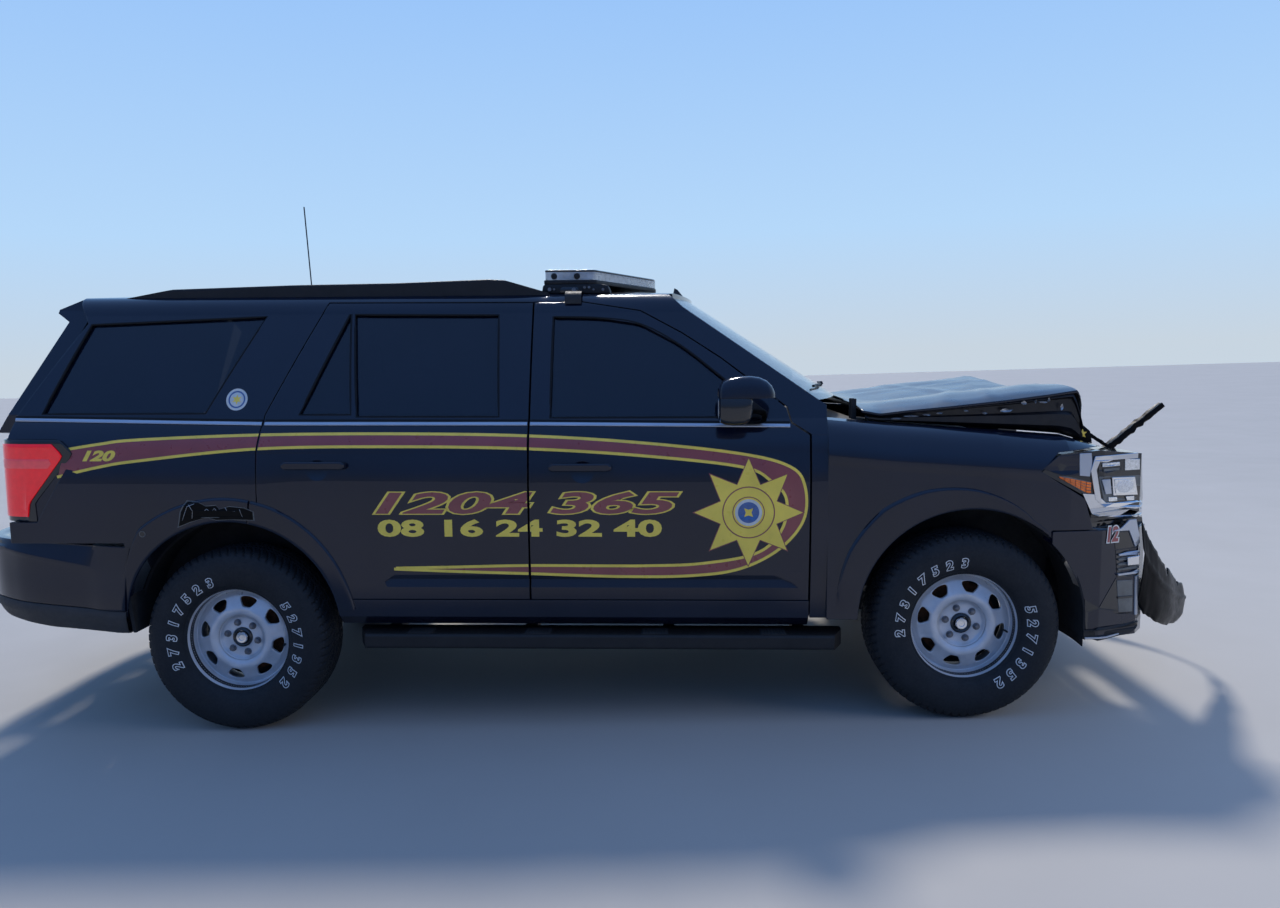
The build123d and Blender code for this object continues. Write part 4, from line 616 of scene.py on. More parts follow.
def make_tyre_mesh():
    tread = [(401.4 - 2.2 * ((y - 857) / 69.0) ** 4, y) for y in [926 - 3.0 * i for i in range(1, 46)]]
    section = smooth_line(WALL_OUT, 3) + tread + smooth_line(WALL_IN, 3)
    rows = []
    for r, y in section:
        row = []
        for k in range(N_ROUND):
            a = k / N_ROUND
            rr, yy = r, y
            if 786 < y < 930 and r > 398:
                rr -= tread_depth(y - 857, a)
            elif 366 < r <= 400.9:
                f = (a * PITCH + (0.012 * (y - 857))) % 1
                if f < 0.22:
                    d = min(1.0, (r - 366) / 20.0)
                    rr -= 5.0 * d
                    yy += (-3.5 if y > 857 else 3.5) * d
            elif 352 < r <= 366:
                f = (a * PITCH * 2) % 1
                if f < 0.4:
                    yy += -1.0 if y > 857 else 1.0
            t = 2 * math.pi * a
            row.append((rr * math.cos(t) / 1000, -yy / 1000, rr * math.sin(t) / 1000))
        rows.append(row)
    inner = [(222, 770), (260, 752), (330, 742), (380, 765), (388, 857), (380, 950), (330, 975), (260, 962), (222, 946)]
    for r, y in inner:
        rows.append([(r * math.cos(2 * math.pi * k / N_ROUND) / 1000, -y / 1000, r * math.sin(2 * math.pi * k / N_ROUND) / 1000) for k in range(N_ROUND)])
    return rows


def wheel_place(x, side):
    """Turns a right-hand wheel drawn about the origin into the wheel at x on that side."""
    if side < 0:
        return Matrix.Translation((x, 0, AXLE_Z))
    return Matrix.Translation((x, 0, AXLE_Z)) @ Matrix.Rotation(math.pi, 4, "Z")


TYRE_ROWS = make_tyre_mesh()
SIDEWALL = sorted(WALL_OUT)


def wall_y(r):
    return lerp(SIDEWALL, r)


def arc_digits(chars, start, step, r, size):
    """Digits round the sidewall, as flat faces (arc length, radius): the white outline and the black core."""
    out = []
    for bold in (4.2, 0.9):
        fs = []
        for i, c in enumerate(chars):
            a0 = math.radians(start - i * step)
            for f in text_faces(c, size, shear=0.12, bold=bold, stretch=1.05):
                fs.append([(x - a0 * r, z) for x, z in f])
        out.append(fs)
    return out


DIGIT_R = 274
WHITE_SETS = [arc_digits("27317523", 184, 13.2, DIGIT_R, 54), arc_digits("5271352", 16, 12.6, DIGIT_R, 54)]


def wall_digits(name, which, mat, M4, body, off):
    bm = bmesh.new()
    for sets in WHITE_SETS:
        for f in sets[which]:
            try:
                bm.faces.new([bm.verts.new((x, z, 0)) for x, z in f])
            except ValueError:
                pass
    z = -27
    while z < 28:
        bmesh.ops.bisect_plane(bm, geom=bm.verts[:] + bm.edges[:] + bm.faces[:], plane_co=(0, z, 0), plane_no=(0, 1, 0))
        z += 4.5
    bmesh.ops.triangulate(bm, faces=bm.faces[:])
    for v in bm.verts:
        a, r = -v.co.x / DIGIT_R, DIGIT_R + v.co.y
        v.co = (r * math.cos(a) / 1000, -(wall_y(r) + off) / 1000, r * math.sin(a) / 1000)
    bm.normal_update()
    for f in bm.faces:
        if f.normal.y > 0:
            f.normal_flip()
    bm.transform(M4)
    return from_bm(name, bm, mat, body)


def lathe(name, prof, mat, M4, body, n=96, closed=True):
    rows = [[M4 @ Vector((r * math.cos(2 * math.pi * k / n) / 1000, -y / 1000, r * math.sin(2 * math.pi * k / n) / 1000)) for k in range(n)] for r, y in prof]
    ob = grid_piece(name, rows, mat, body, closed_v=closed)
    ob.data.set_sharp_from_angle(angle=0.7)
    return ob


for end in ("front", "rear"):
    for side in (-1, 1):
        sn = SIDE_NAME[side]
        body = f"{end}_{sn}_wheel"
        M4 = wheel_place(WHEEL_X[end], side)
        rows = [[M4 @ Vector(p) for p in r] for r in TYRE_ROWS]
        t = grid_piece(f"tyre_detail_{end}_{sn}", rows, "rubber", body, closed_v=True)
        t.data.set_sharp_from_angle(angle=0.55)
        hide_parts(f"tyre_{end}_{sn}")
        MD = M4 @ Matrix.Rotation(math.radians(-18 if end == "rear" else 0) * -side, 4, "Y")
        wall_digits(f"sidewall_outline_{end}_{sn}", 0, "white", MD, body, 0.7)
        wall_digits(f"sidewall_core_{end}_{sn}", 1, "rubber", MD, body, 1.1)
        # rusty brake disc that shows through the wheel's windows
        lathe(f"brake_shield_{end}_{sn}", [(60, 796), (196, 796), (200, 800), (200, 812), (196, 812), (194, 800), (60, 800)], "steel", M4, body, n=64)
        lathe(f"brake_disc_{end}_{sn}", [(70, 836), (168, 836), (168, 826), (160, 823), (160, 816), (168, 813), (168, 803), (70, 803)], "rust", M4, body)
        v = [M4 @ Vector((p[0] / 1000, -p[1] / 1000, p[2] / 1000)) for p in
             ((188 * 0.982, 898, -188 * 0.19), (189 * 0.982, 912, -189 * 0.19), (192 * 0.982, 930, -192 * 0.19))]
        tube(f"valve_stem_{end}_{sn}", v, 0.0045, "black", body, n=10)

# ------------------------------------------------------------------ front end
LAMP_PLAN = [(1650, 1000), (1910, 988), (2100, 955), (2290, 870), (2360, 760), (2400, 650)]


def lamp_half(x, z):
    return lerp(LAMP_PLAN, x)


def shell(name, outline, mat, body, side=-1, off=1.0, thick=3.0, bevel=1.2, surf=half, zstep=20.0, slot="navy_paint", clip=()):
    """A plate that follows the body's outer surface, off mm out, with its own thickness and rounded edges."""
    faces = outline if isinstance(outline[0][0], (tuple, list)) else [outline]
    ob = on_side(name, faces, mat, body, side=side, off=off, surf=surf, zstep=zstep, slot=slot, smooth=False, clip=clip)
    if ob is None:
        return None
    bm = bmesh.new()
    bm.from_mesh(ob.data)
    bmesh.ops.remove_doubles(bm, verts=bm.verts, dist=0.00005)
    bmesh.ops.dissolve_limit(bm, angle_limit=0.01, verts=bm.verts, edges=bm.edges)
    bm.to_mesh(ob.data)
    bm.free()
    s = ob.modifiers.new("thick", "SOLIDIFY")
    s.thickness = thick / 1000
    s.offset = -1
    if bevel:
        b = ob.modifiers.new("round", "BEVEL")
        b.width = bevel / 1000
        b.segments = 2
        b.limit_method = "ANGLE"
        b.angle_limit = 0.7
    return ob


def spread(pts, step=30.0):
    """Closed outline with its long sides divided, so that it can follow a curved surface."""
    out = []
    n = len(pts)
    for i in range(n):
        a, b = pts[i], pts[(i + 1) % n]
        k = max(1, int(math.hypot(b[0] - a[0], b[1] - a[1]) / step))
        out += [(a[0] + (b[0] - a[0]) * j / k, a[1] + (b[1] - a[1]) * j / k) for j in range(k)]
    return out


for side in (-1, 1):
    sn = SIDE_NAME[side]
    LS = "lamp_plastic"

    def lamp(name, pts, mat, off, thick=4.0, bevel=1.2):
        return shell(f"{name}_{sn}", spread(pts), mat, BODY, side=side, off=off, thick=thick, bevel=bevel, surf=lamp_half, slot=LS)

    lamp("lamp_upper_cover", [(1838, 1108), (1898, 1161), (2040, 1171), (2040, 1074), (1915, 1083)], "paint", 4, 6, 2)
    lamp("lamp_bright_band", [(1988, 1170), (2040, 1172), (2045, 1134), (2037, 1074), (1992, 1079)], "satin", 6, 4, 1.5)
    lamp("lamp_surround", [(2268, 1164), (2056, 1158), (2039, 1101), (2064, 978), (2106, 944), (2330, 932), (2330, 952), (2114, 962), (2088, 984), (2064, 1101), (2079, 1139), (2268, 1142)],
         "chrome", 9, 9, 2.5)
    lamp("lamp_corner", [(2008, 1004), (2060, 1000), (2090, 962), (2118, 944), (2325, 930), (2330, 896), (2120, 908), (2052, 918)], "chrome", 7, 8, 3)
    lamp("lamp_amber_back", [(1900, 1080), (1942, 1076), (2046, 1050), (2038, 1003), (2010, 1006)], "grey", 3, 4, 1)
    lamp("lamp_upper_lens", [(2076, 1136), (2189, 1138), (2192, 1084), (2074, 1086)], "gloss", 3, 5, 1)
    lamp("lamp_upper_module", [(2090, 1128), (2176, 1130), (2178, 1114), (2092, 1112)], "bulb", 5, 4, 1)
    lamp("lamp_upper_module_low", [(2096, 1104), (2176, 1106), (2176, 1096), (2098, 1094)], "grey", 5, 4, 1)
    lamp("lamp_side_module", [(2204, 1142), (2280, 1138), (2282, 1092), (2206, 1092)], "bulb", 5, 6, 2)
    lamp("lamp_projector_well", [(2078, 1072), (2284, 1068), (2300, 972), (2106, 966)], "grey", 2, 4, 1)
    lamp("lamp_projector_frame", [(2140, 1068), (2258, 1064), (2276, 986), (2150, 990)], "chrome", 7, 7, 2)
    lamp("lamp_projector_face", [(2150, 1058), (2250, 1055), (2264, 996), (2160, 999)], "bulb", 10, 4, 1.5)
    lamp("lamp_projector_side", [(2090, 1060), (2132, 1060), (2142, 998), (2112, 998)], "satin", 6, 5, 2)
    lamp("lamp_small_inner", [(2126, 985), (2170, 983), (2171, 966), (2128, 967)], "bulb", 6, 4, 1)
    lamp("lamp_small_outer", [(2214, 983), (2258, 982), (2259, 964), (2222, 965)], "bulb", 6, 4, 1)
    # amber marker: small blocks with dark lines between
    bm_cells = []
    for i in range(6):
        for j in range(4):
            x0, x1 = 1905 + i * 23.5, 1905 + i * 23.5 + 20
            t0, t1 = (x0 - 1900) / 146, (x1 - 1900) / 146
            top0, bot0 = 1078 - 28 * t0, 1074 - 70 * min(1, t0 * 1.15)
            top1, bot1 = 1078 - 28 * t1, 1074 - 70 * min(1, t1 * 1.15)
            a0, a1 = j / 4 + 0.03, (j + 1) / 4 - 0.03
            bm_cells.append([(x0, top0 + (bot0 - top0) * a0), (x1, top1 + (bot1 - top1) * a0), (x1, top1 + (bot1 - top1) * a1), (x0, top0 + (bot0 - top0) * a1)])
    shell(f"lamp_amber_{sn}", bm_cells, "amber", BODY, side=side, off=7, thick=4, bevel=0.8, surf=lamp_half, slot=LS)
    # projector's clear bulge
    rows = []
    for i in range(9):
        a = math.pi / 2 * i / 8
        row = []
        for k in range(28):
            t = 2 * math.pi * k / 28
            x = 2205 + 44 * math.cos(a) * math.cos(t)
            z = 1027 + 27 * math.cos(a) * math.sin(t)
            row.append(lv(x, side * (lamp_half(x, z) + 9 + 12 * math.sin(a)), z))
        rows.append(row)
    grid_piece(f"lamp_projector_bulge_{sn}", rows, "lens", BODY)


# ------------------------------------------------------------------ level-frame sheets
def sheet(name, rows, mat, body, thick=3.0, clip=(), out=None, sharp=0.6, skip=None, closed=False, bevel=0.0, sub=0):
    """Grid of level points (mm) as a sheet with thickness; out is a rough outward direction."""
    bm = bmesh.new()
    vs = [[bm.verts.new(p) for p in r] for r in rows]
    for j, (a, b) in enumerate(zip(vs[:-1], vs[1:])):
        n = len(a)
        for i in range(n if closed else n - 1):
            k = (i + 1) % n
            if skip and skip(j, i):
                continue
            try:
                bm.faces.new((a[i], a[k], b[k], b[i]))
            except ValueError:
                pass
    bmesh.ops.remove_doubles(bm, verts=bm.verts, dist=0.02)
    loose = [v for v in bm.verts if not v.link_faces]
    bmesh.ops.delete(bm, geom=loose, context="VERTS")
    for co, no in clip:
        bmesh.ops.bisect_plane(bm, geom=bm.verts[:] + bm.edges[:] + bm.faces[:], plane_co=(co[0], 0, co[1]), plane_no=(no[0], 0, no[1]), clear_outer=True)
    if not bm.faces:
        bm.free()
        return None
    bm.normal_update()
    if out is not None:
        if callable(out):
            s = sum(f.normal.dot(out(f.calc_center_median())) * f.calc_area() for f in bm.faces)
        else:
            s = sum(f.normal.dot(Vector(out)) * f.calc_area() for f in bm.faces)
        if s < 0:
            bmesh.ops.reverse_faces(bm, faces=bm.faces[:])
    for v in bm.verts:
        v.co = lv(v.co.x, v.co.y, v.co.z)
    ob = from_bm(name, bm, mat, body, smooth=True)
    ob.data.set_sharp_from_angle(angle=sharp)
    if thick:
        s = ob.modifiers.new("thick", "SOLIDIFY")
        s.thickness = thick / 1000
        s.offset = -1
    if bevel:
        b = ob.modifiers.new("round", "BEVEL")
        b.width = bevel / 1000
        b.segments = 2
        b.limit_method = "ANGLE"
        b.angle_limit = 0.9
    if sub:
        m = ob.modifiers.new("smooth", "SUBSURF")
        m.levels = m.render_levels = sub
    return ob


def clamp(v, a=0.0, b=1.0):
    return max(a, min(b, v))


def ease(t):
    t = clamp(t)
    return t * t * (3 - 2 * t)


def slab_x(name, outline, x0, x1, mat, body, bevel=2.0, slope=0.0, z_ref=0.0, segs=2, level=True):
    """(y, z) outline extruded from x0 to x1, leaning by slope (mm of x for a mm of z above z_ref)."""
    bm = bmesh.new()
    f = bm.faces.new([bm.verts.new((x0, p[0], p[1])) for p in outline])
    r = bmesh.ops.extrude_face_region(bm, geom=[f])
    for v in r["geom"]:
        if isinstance(v, bmesh.types.BMVert):
            v.co.x = x1
    bmesh.ops.recalc_face_normals(bm, faces=bm.faces[:])
    if bevel:
        es = [e for e in bm.edges if len(e.link_faces) == 2 and e.calc_face_angle(0) > 0.4]
        bmesh.ops.bevel(bm, geom=es, offset=bevel, segments=segs, affect="EDGES", profile=0.5, clamp_overlap=True)
    for v in bm.verts:
        p = (v.co.x + slope * (v.co.z - z_ref), v.co.y, v.co.z)
        v.co = lv(*p) if level else Vector(p) / 1000
    ob = from_bm(name, bm, mat, body, smooth=True)
    ob.data.set_sharp_from_angle(angle=0.6)
    return ob


def rect(a0, a1, b0, b1, r=0.0, n=4):
    """Rounded rectangle outline."""
    if not r:
        return [(a0, b0), (a1, b0), (a1, b1), (a0, b1)]
    out = []
    for cx, cy, t0 in ((a1 - r, b0 + r, -90), (a1 - r, b1 - r, 0), (a0 + r, b1 - r, 90), (a0 + r, b0 + r, 180)):
        for i in range(n + 1):
            t = math.radians(t0 + 90 * i / n)
            out.append((cx + r * math.cos(t), cy + r * math.sin(t)))
    return out


# ------------------------------------------------------------------ wheels
WINDOWS_N = 8
RC, RIN, ROUT = 163.0, 98.0, 203.0
DISC = [(98, 917), (104, 923), (112, 928), (122, 930), (132, 929), (144, 923), (158, 916), (172, 911), (186, 907), (193, 903), (198, 899), (203, 896)]
WINDOW = smooth_line([(-34, 10), (-28, 19), (0, 23), (28, 19), (34, 10), (31, -1), (22, -17), (11, -22), (-11, -22), (-22, -17), (-31, -1)], 6, closed=True)


def window_radius(phi):
    """Distance from the window's centre to its outline in the direction phi."""
    best = None
    for i in range(len(WINDOW)):
        (x0, y0), (x1, y1) = WINDOW[i], WINDOW[(i + 1) % len(WINDOW)]
        dx, dy = math.cos(phi), math.sin(phi)
        den = dx * (y1 - y0) - dy * (x1 - x0)
        if abs(den) < 1e-9:
            continue
        t = (x0 * (y1 - y0) - y0 * (x1 - x0)) / den
        u = (x0 * dy - y0 * dx) / den
        if t > 0 and -1e-6 <= u <= 1 + 1e-6:
            best = t if best is None else min(best, t)
    return best or 20.0


HALF_W = math.pi / WINDOWS_N * RC
LOW, HIGH = RIN - RC, ROUT - RC
rim_pts = []
for (x0, z0), (x1, z1), n in (((-HALF_W, LOW), (HALF_W, LOW), 10), ((HALF_W, LOW), (HALF_W, HIGH), 10), ((HALF_W, HIGH), (-HALF_W, HIGH), 10), ((-HALF_W, HIGH), (-HALF_W, LOW), 10)):
    rim_pts += [(x0 + (x1 - x0) * i / n, z0 + (z1 - z0) * i / n) for i in range(n)]
hole_pts = []
for p in rim_pts:
    a = math.atan2(p[1], p[0])
    r = window_radius(a)
    hole_pts.append((r * math.cos(a), r * math.sin(a)))
RINGS = [(0.965, None, -9.0), (0.975, None, -5.0), (0.99, None, -1.6), (1.0, None, -0.1)] + [(None, s, 0.0) for s in (0.08, 0.2, 0.36, 0.54, 0.72, 0.88, 1.0)]


def wheel_disc_bm():
    bm = bmesh.new()
    for k in range(WINDOWS_N):
        base = math.radians(32 + 360.0 / WINDOWS_N * k)
        prev = None
        for scale, s, dy in RINGS:
            ring_v = []
            for h, q in zip(hole_pts, rim_pts):
                if s is None:
                    u, v = h[0] * scale, h[1] * scale
                else:
                    u, v = h[0] * (1 - s) + q[0] * s, h[1] * (1 - s) + q[1] * s
                r, t = RC + v, base - u / RC
                y = lerp(DISC, r) + dy
                if s is not None and s < 0.3:
                    y += 1.6 * math.sin(math.pi * min(1, s / 0.3))
                ring_v.append(bm.verts.new((r * math.cos(t) / 1000, -y / 1000, r * math.sin(t) / 1000)))
            if prev:
                n = len(ring_v)
                for i in range(n):
                    j = (i + 1) % n
                    bm.faces.new((prev[i], prev[j], ring_v[j], ring_v[i]))
            prev = ring_v
    bmesh.ops.remove_doubles(bm, verts=bm.verts, dist=0.00005)
    # hub pad and the wall of its bore
    prof = [(98, 917), (94, 911), (90, 906.5), (84, 904.5), (70, 904), (52, 904.5), (45, 906), (43, 904), (43, 880)]
    rows = [[bm.verts.new((r * math.cos(2 * math.pi * k / 96) / 1000, -y / 1000, r * math.sin(2 * math.pi * k / 96) / 1000)) for k in range(96)] for r, y in prof]
    for a, b in zip(rows[:-1], rows[1:]):
        for k in range(96):
            bm.faces.new((a[k], a[(k + 1) % 96], b[(k + 1) % 96], b[k]))
    bm.normal_update()
    for f in bm.faces:
        c = f.calc_center_median()
        if abs(f.normal.y) > 0.3 and f.normal.y > 0:
            f.normal_flip()
    bmesh.ops.recalc_face_normals(bm, faces=bm.faces[:])
    top = max(bm.faces, key=lambda f: -f.calc_center_median().y)
    if top.normal.y > 0:
        bmesh.ops.reverse_faces(bm, faces=bm.faces[:])
    return bm


RIM = [(203, 896), (207, 892.5), (211, 894), (213.5, 902), (214.5, 915), (216, 930), (219, 945), (223, 953), (228, 958), (233, 961), (237, 961.3), (239, 958), (238, 954),
       (233, 951), (224, 948), (220, 930), (218, 905), (213, 884), (210, 870), (210, 815), (217, 796), (221, 768), (236, 761), (237, 755), (231, 753), (216, 763), (212, 794), (203, 812), (202, 870)]
for end in ("front", "rear"):
    for side in (-1, 1):
        sn = SIDE_NAME[side]
        body = f"{end}_{sn}_wheel"
        M4 = wheel_place(WHEEL_X[end], side)
        bm = wheel_disc_bm()
        bm.transform(M4)
        w = from_bm(f"wheel_disc_{end}_{sn}", bm, "silver", body, smooth=True)
        w.data.set_sharp_from_angle(angle=0.8)
        sol = w.modifiers.new("thick", "SOLIDIFY")
        sol.thickness, sol.offset = 0.004, -1
        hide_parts(f"wheel_{end}_{sn}")
        lathe(f"wheel_rim_{end}_{sn}", RIM, "silver", M4, body, n=160)
        lathe(f"wheel_rim_shadow_line_{end}_{sn}", [(214.2, 917), (216.2, 920), (218.6, 936), (219.6, 940), (217.6, 940), (215.4, 926)], "lamp_black", M4, body, n=120)
        lathe(f"wheel_hub_ring_{end}_{sn}", [(28, 900), (30, 909), (36, 912), (42, 910), (43.5, 906), (43.5, 896), (28, 896)], "lamp_black", M4, body, n=64)
        lathe(f"wheel_snout_{end}_{sn}", [(0.5, 917), (12, 917), (13, 921), (22, 921.5), (25.5, 918), (26.5, 909), (27, 898), (0.5, 898)], "chrome", M4, body, n=48)
        bm = bmesh.new()
        for k in range(6):
            a = math.radians(-14 + 60 * k)
            cx, cz = 67.5 * math.cos(a), 67.5 * math.sin(a)
            for r, y0, y1, n, ch in ((15.5, 903, 908, 20, 1.2), (11.5, 907, 921.5, 6, 2.2), (6.0, 921, 924, 12, 1.0)):
                rings = []
                for rr, y in ((r, y0), (r, y1 - ch), (r - ch, y1)):
                    rings.append([bm.verts.new(((cx + rr * math.cos(2 * math.pi * i / n + a)) / 1000, -y / 1000, (cz + rr * math.sin(2 * math.pi * i / n + a)) / 1000)) for i in range(n)])
                for p, q in zip(rings[:-1], rings[1:]):
                    for i in range(n):
                        bm.faces.new((p[i], p[(i + 1) % n], q[(i + 1) % n], q[i]))
                bm.faces.new(rings[-1])
        bmesh.ops.recalc_face_normals(bm, faces=bm.faces[:])
        bm.transform(M4)
        from_bm(f"wheel_nuts_{end}_{sn}", bm, "nut", body)

# ------------------------------------------------------------------ arch flares
FLARE_T = [(0.0, -24), (0.0, -8), (0.0, 0.6), (0.03, 2.6), (0.2, 4.2), (0.45, 6.4), (0.7, 8.6), (0.88, 10.2), (0.93, 10.0), (0.965, 6.5), (1.0, 0.5)]
FLARE = {
    "rear": ((-1566.0, 428.0, 464.0), [(6, 76), (25, 78), (45, 88), (70, 100), (90, 105), (115, 107), (131, 112), (145, 66), (165, 26), (173, 24), (184, 30)], 9, 183),
    "front": ((1562.0, 471.0, 473.0), [(50, 10), (60, 16), (70, 42), (90, 84), (110, 116), (128, 134), (150, 122), (176, 90)], 50, 176),
}
for side in (-1, 1):
    for end, ((cx, cz, r0), widths, a0, a1) in FLARE.items():
        rows = []
        n = 90
        for i in range(n + 1):
            a = a0 + (a1 - a0) * i / n
            w = lerp(widths, a)
            k = min(1.0, w / 60.0) * (ease((a1 - a) / 14.0) if end == "front" else 1.0)
            row = []
            for t, o in FLARE_T:
                rr = r0 + w * t
                x, z = cx + rr * math.cos(math.radians(a)), cz + rr * math.sin(math.radians(a))
                row.append((x, side * (half(x, z) + (o * k if o > 0.6 else o)), z))
            rows.append(row)
        parts = [("front", BODY, ())] if end == "front" else [("quarter", BODY, PANELS["quarter"][1]), ("rear", DOOR[("rear", side)], PANELS["rear"][1][:1])]
        for nm, b, clip in parts:
            sheet(f"arch_flare_{end}_{nm}_{SIDE_NAME[side]}", rows, "paint", b, thick=0, clip=clip, out=(0, side, 0), sharp=0.9)

# ------------------------------------------------------------------ rear bumper
REAR_PLAN = smooth_line([(-2000, -1009), (-2200, -1005), (-2427, -1001), (-2540, -976), (-2625, -934), (-2690, -868), (-2742, -765), (-2778, -620), (-2800, -400), (-2810, -180), (-2813, 0)], 8)
plan_n = []
for i, p in enumerate(REAR_PLAN):
    a, b = REAR_PLAN[max(i - 1, 0)], REAR_PLAN[min(i + 1, len(REAR_PLAN) - 1)]
    d = math.hypot(b[0] - a[0], b[1] - a[1])
    plan_n.append(((b[1] - a[1]) / -d, (b[0] - a[0]) / d) if i < len(REAR_PLAN) - 1 else (-1.0, 0.0))
START = [(396, -2030), (550, -2024), (728, -2003), (800, -1975)]


def bumper_rows(levels):
    """levels(x) gives (z, inset) pairs from top to bottom for the column at x."""
    cols = []
    for i, (p, nn) in enumerate(zip(REAR_PLAN, plan_n)):
        col = []
        rearness = ease((-2420 - p[0]) / 180.0)
        for z, ins in levels(p[0], rearness):
            x, y = p
            if x > -2240:
                x0 = lerp(START, z)
                f = (x + 2240) / 240.0
                x = -2240 + (x0 + 2240) * f
            y = max(abs(y), 0) * -1
            # the outward normal in plan points away from the body
            nx, ny = (nn[0], nn[1])
            if nx > 0: nx, ny = -nx, -ny
            if abs(nx) < 0.2 and ny > 0: ny = -ny
            col.append((x - nx * ins, y - ny * ins, z))
        cols.append(col)
    full = cols + [[(x, -y, z) for x, y, z in c] for c in reversed(cols[:-1])]
    return [[c[j] for c in full] for j in range(len(full[0]))]


def upper_levels(x, k):
    zt = lerp([(-2420, 812), (-2160, 793), (-1980, 784)], x)
    zc = lerp([(-2560, 764), (-2148, 682), (-2000, 660)], x)
    zs = lerp([(-2604, 553), (-2363, 531), (-2050, 503)], x)
    c = ease((-2120 - x) / 60.0)
    return [(zt - 2, 2 + 96 * k), (zt, 2 + 40 * k), (zt - 2, 1 + 18 * k), (zt - 9, 1 + 12 * c), (zt - 24, 1 + 9.5 * c), (zc + 14, 1 + 1.5 * c), (zc + 3, 1.0), (zc - 5, 1 + 2.2 * c),
            (zc - 16, 1 + 5 * c), ((zc + zs) / 2, 1 + 7 * c), (zs + 8, 1 + 9 * c), (zs, 5 + 8 * c), (zs - 3, 14 + 8 * c)]


def valance_levels(x, k):
    zs = lerp([(-2604, 553), (-2363, 531), (-2050, 503)], x)
    zb = lerp([(-2800, 500), (-2604, 462), (-2363, 424), (-2050, 398)], x)
    return [(zs - 2, 20), (zs - 3, 5 + 6), (zs - 14, 8), (zs - 40, 10), ((zs + zb) / 2, 14), (zb + 16, 24), (zb + 3, 32), (zb, 44), (zb + 2, 90)]


n_cols = 2 * len(REAR_PLAN) - 1
rb = sheet("rear_bumper_cover", bumper_rows(upper_levels), "paint", BODY, thick=3, out=(-0.3, 0, 0.1), sharp=0.5)
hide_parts("rear_bumper")
mid = len(REAR_PLAN) - 1
sheet("rear_bumper_valance", bumper_rows(valance_levels), "valance", BODY, thick=3, out=(-0.3, 0, 0.1), sharp=0.7,
      skip=lambda j, i: abs(i + 0.5 - mid) < 7.6 and j >= 1)
for s in (-1, 1):
    # reflector, and a rubber step pad on the ledge
    rows = []
    for j in range(3):
        rows.append([(p[0] - 1.5, s * abs(p[1]) , 600 + 16 * j) for p in REAR_PLAN if -2790 < p[0] < -2730])
    # this reflector takes the red lens material, so it carries the same painted glow
    sheet(f"rear_reflector_{SIDE_NAME[s]}", rows, "red", BODY, thick=3, out=(-1, 0, 0), bevel=1.0)
bm = bmesh.new()
for i in range(9):
    box_piece(bm, (-2.738 + 0.0 * i, -0.56 + 0.14 * i, 0.8145), (0.056, 0.12, 0.005), bevel=0.0016)
for v in bm.verts:
    x, y, z = v.co * 1000
    v.co = lv(x + 26 * (abs(y) / 620) ** 2 + 0, y, z)
from_bm("rear_step_pads", bm, "board", BODY)

# ------------------------------------------------------------------ tail lamps
LENS_PLAN = smooth_line([(-2200, 1004), (-2320, 1003), (-2427, 1000), (-2510, 978), (-2552, 930), (-2562, 860), (-2563, 790)], 6)


def lamp_rows(front, z0, z1, off, inner_y, nz=16):
    rows = []
    for j in range(nz + 1):
        z = z0 + (z1 - z0) * j / nz
        xf = lerp(front, z)
        row = []
        for i, p in enumerate(LENS_PLAN):
            a, b = LENS_PLAN[max(i - 1, 0)], LENS_PLAN[min(i + 1, len(LENS_PLAN) - 1)]
            d = math.hypot(b[0] - a[0], b[1] - a[1])
            nx, ny = (b[1] - a[1]) / d, -(b[0] - a[0]) / d
            x, y = p[0] + nx * off, p[1] + ny * off
            if p[0] > -2427:
                f = (p[0] + 2427) / 227.0
                x = -2427 + (xf + 2427) * f
                if f < 0: f = 0
            row.append((x, y, z))
        rows.append(row)
    return rows


SUR_FRONT = [(890, -2383), (972, -2388), (1177, -2213), (1205, -2228), (1241, -2268)]
RED_FRONT = [(914, -2420), (973, -2411), (1169, -2256), (1190, -2268), (1224, -2300)]
for side in (-1, 1):
    sn = SIDE_NAME[side]

    def turn(rows):
        return [[(x, side * y, z) for x, y, z in r] for r in rows]

    sur = sheet(f"tail_lamp_surround_{sn}", turn(lamp_rows(SUR_FRONT, 892, 1241, 1.5, 790, 18)), "lamp_black", BODY, thick=10, out=(-0.4, side, 0), bevel=3.0)
    red = sheet(f"tail_lamp_lens_{sn}", turn(lamp_rows(RED_FRONT, 914, 1224, 7.0, 790, 18)), "red", BODY, thick=9, out=(-0.4, side, 0), bevel=3.5)
    if side < 0:
        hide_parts("tail_lights")
    shell(f"tail_lamp_filler_{sn}", spread([(-2212, 1180), (-2250, 1150), (-2392, 985), (-2396, 888), (-2376, 888), (-2208, 1166)], 20.0), "paint", BODY, side=side, off=-2.2, thick=6, bevel=0.6)
    # light guide band: a real part, made paler and glowing as a painted highlight
    sheet(f"tail_lamp_guide_painted_highlight_{sn}", turn(lamp_rows([(z, x - 2) for z, x in [(1120, -2318), (1140, -2300), (1160, -2310)]], 1120, 1160, 8.6, 790, 4)), "red_pale", BODY, thick=3,
          out=(-0.4, side, 0), bevel=1.0)
    sheet(f"tail_lamp_reverse_{sn}", [[(-2572.5, side * y, z) for y in (790, 815, 840, 868)] for z in (985, 1000, 1030, 1050)], "lens_white", BODY, thick=5, out=(-1, 0, 0), bevel=2.0)

# ------------------------------------------------------------------ hood
HOOD_ST = [(1118, 853, 1345, 1370, 1384), (1200, 856, 1330, 1368, 1354), (1307, 858, 1343, 1381, 1334), (1479, 861, 1359, 1401, 1354),
           (1731, 862, 1386, 1429, 1382), (1900, 860, 1408, 1448, 1402), (2022, 846, 1425, 1454, 1414)]


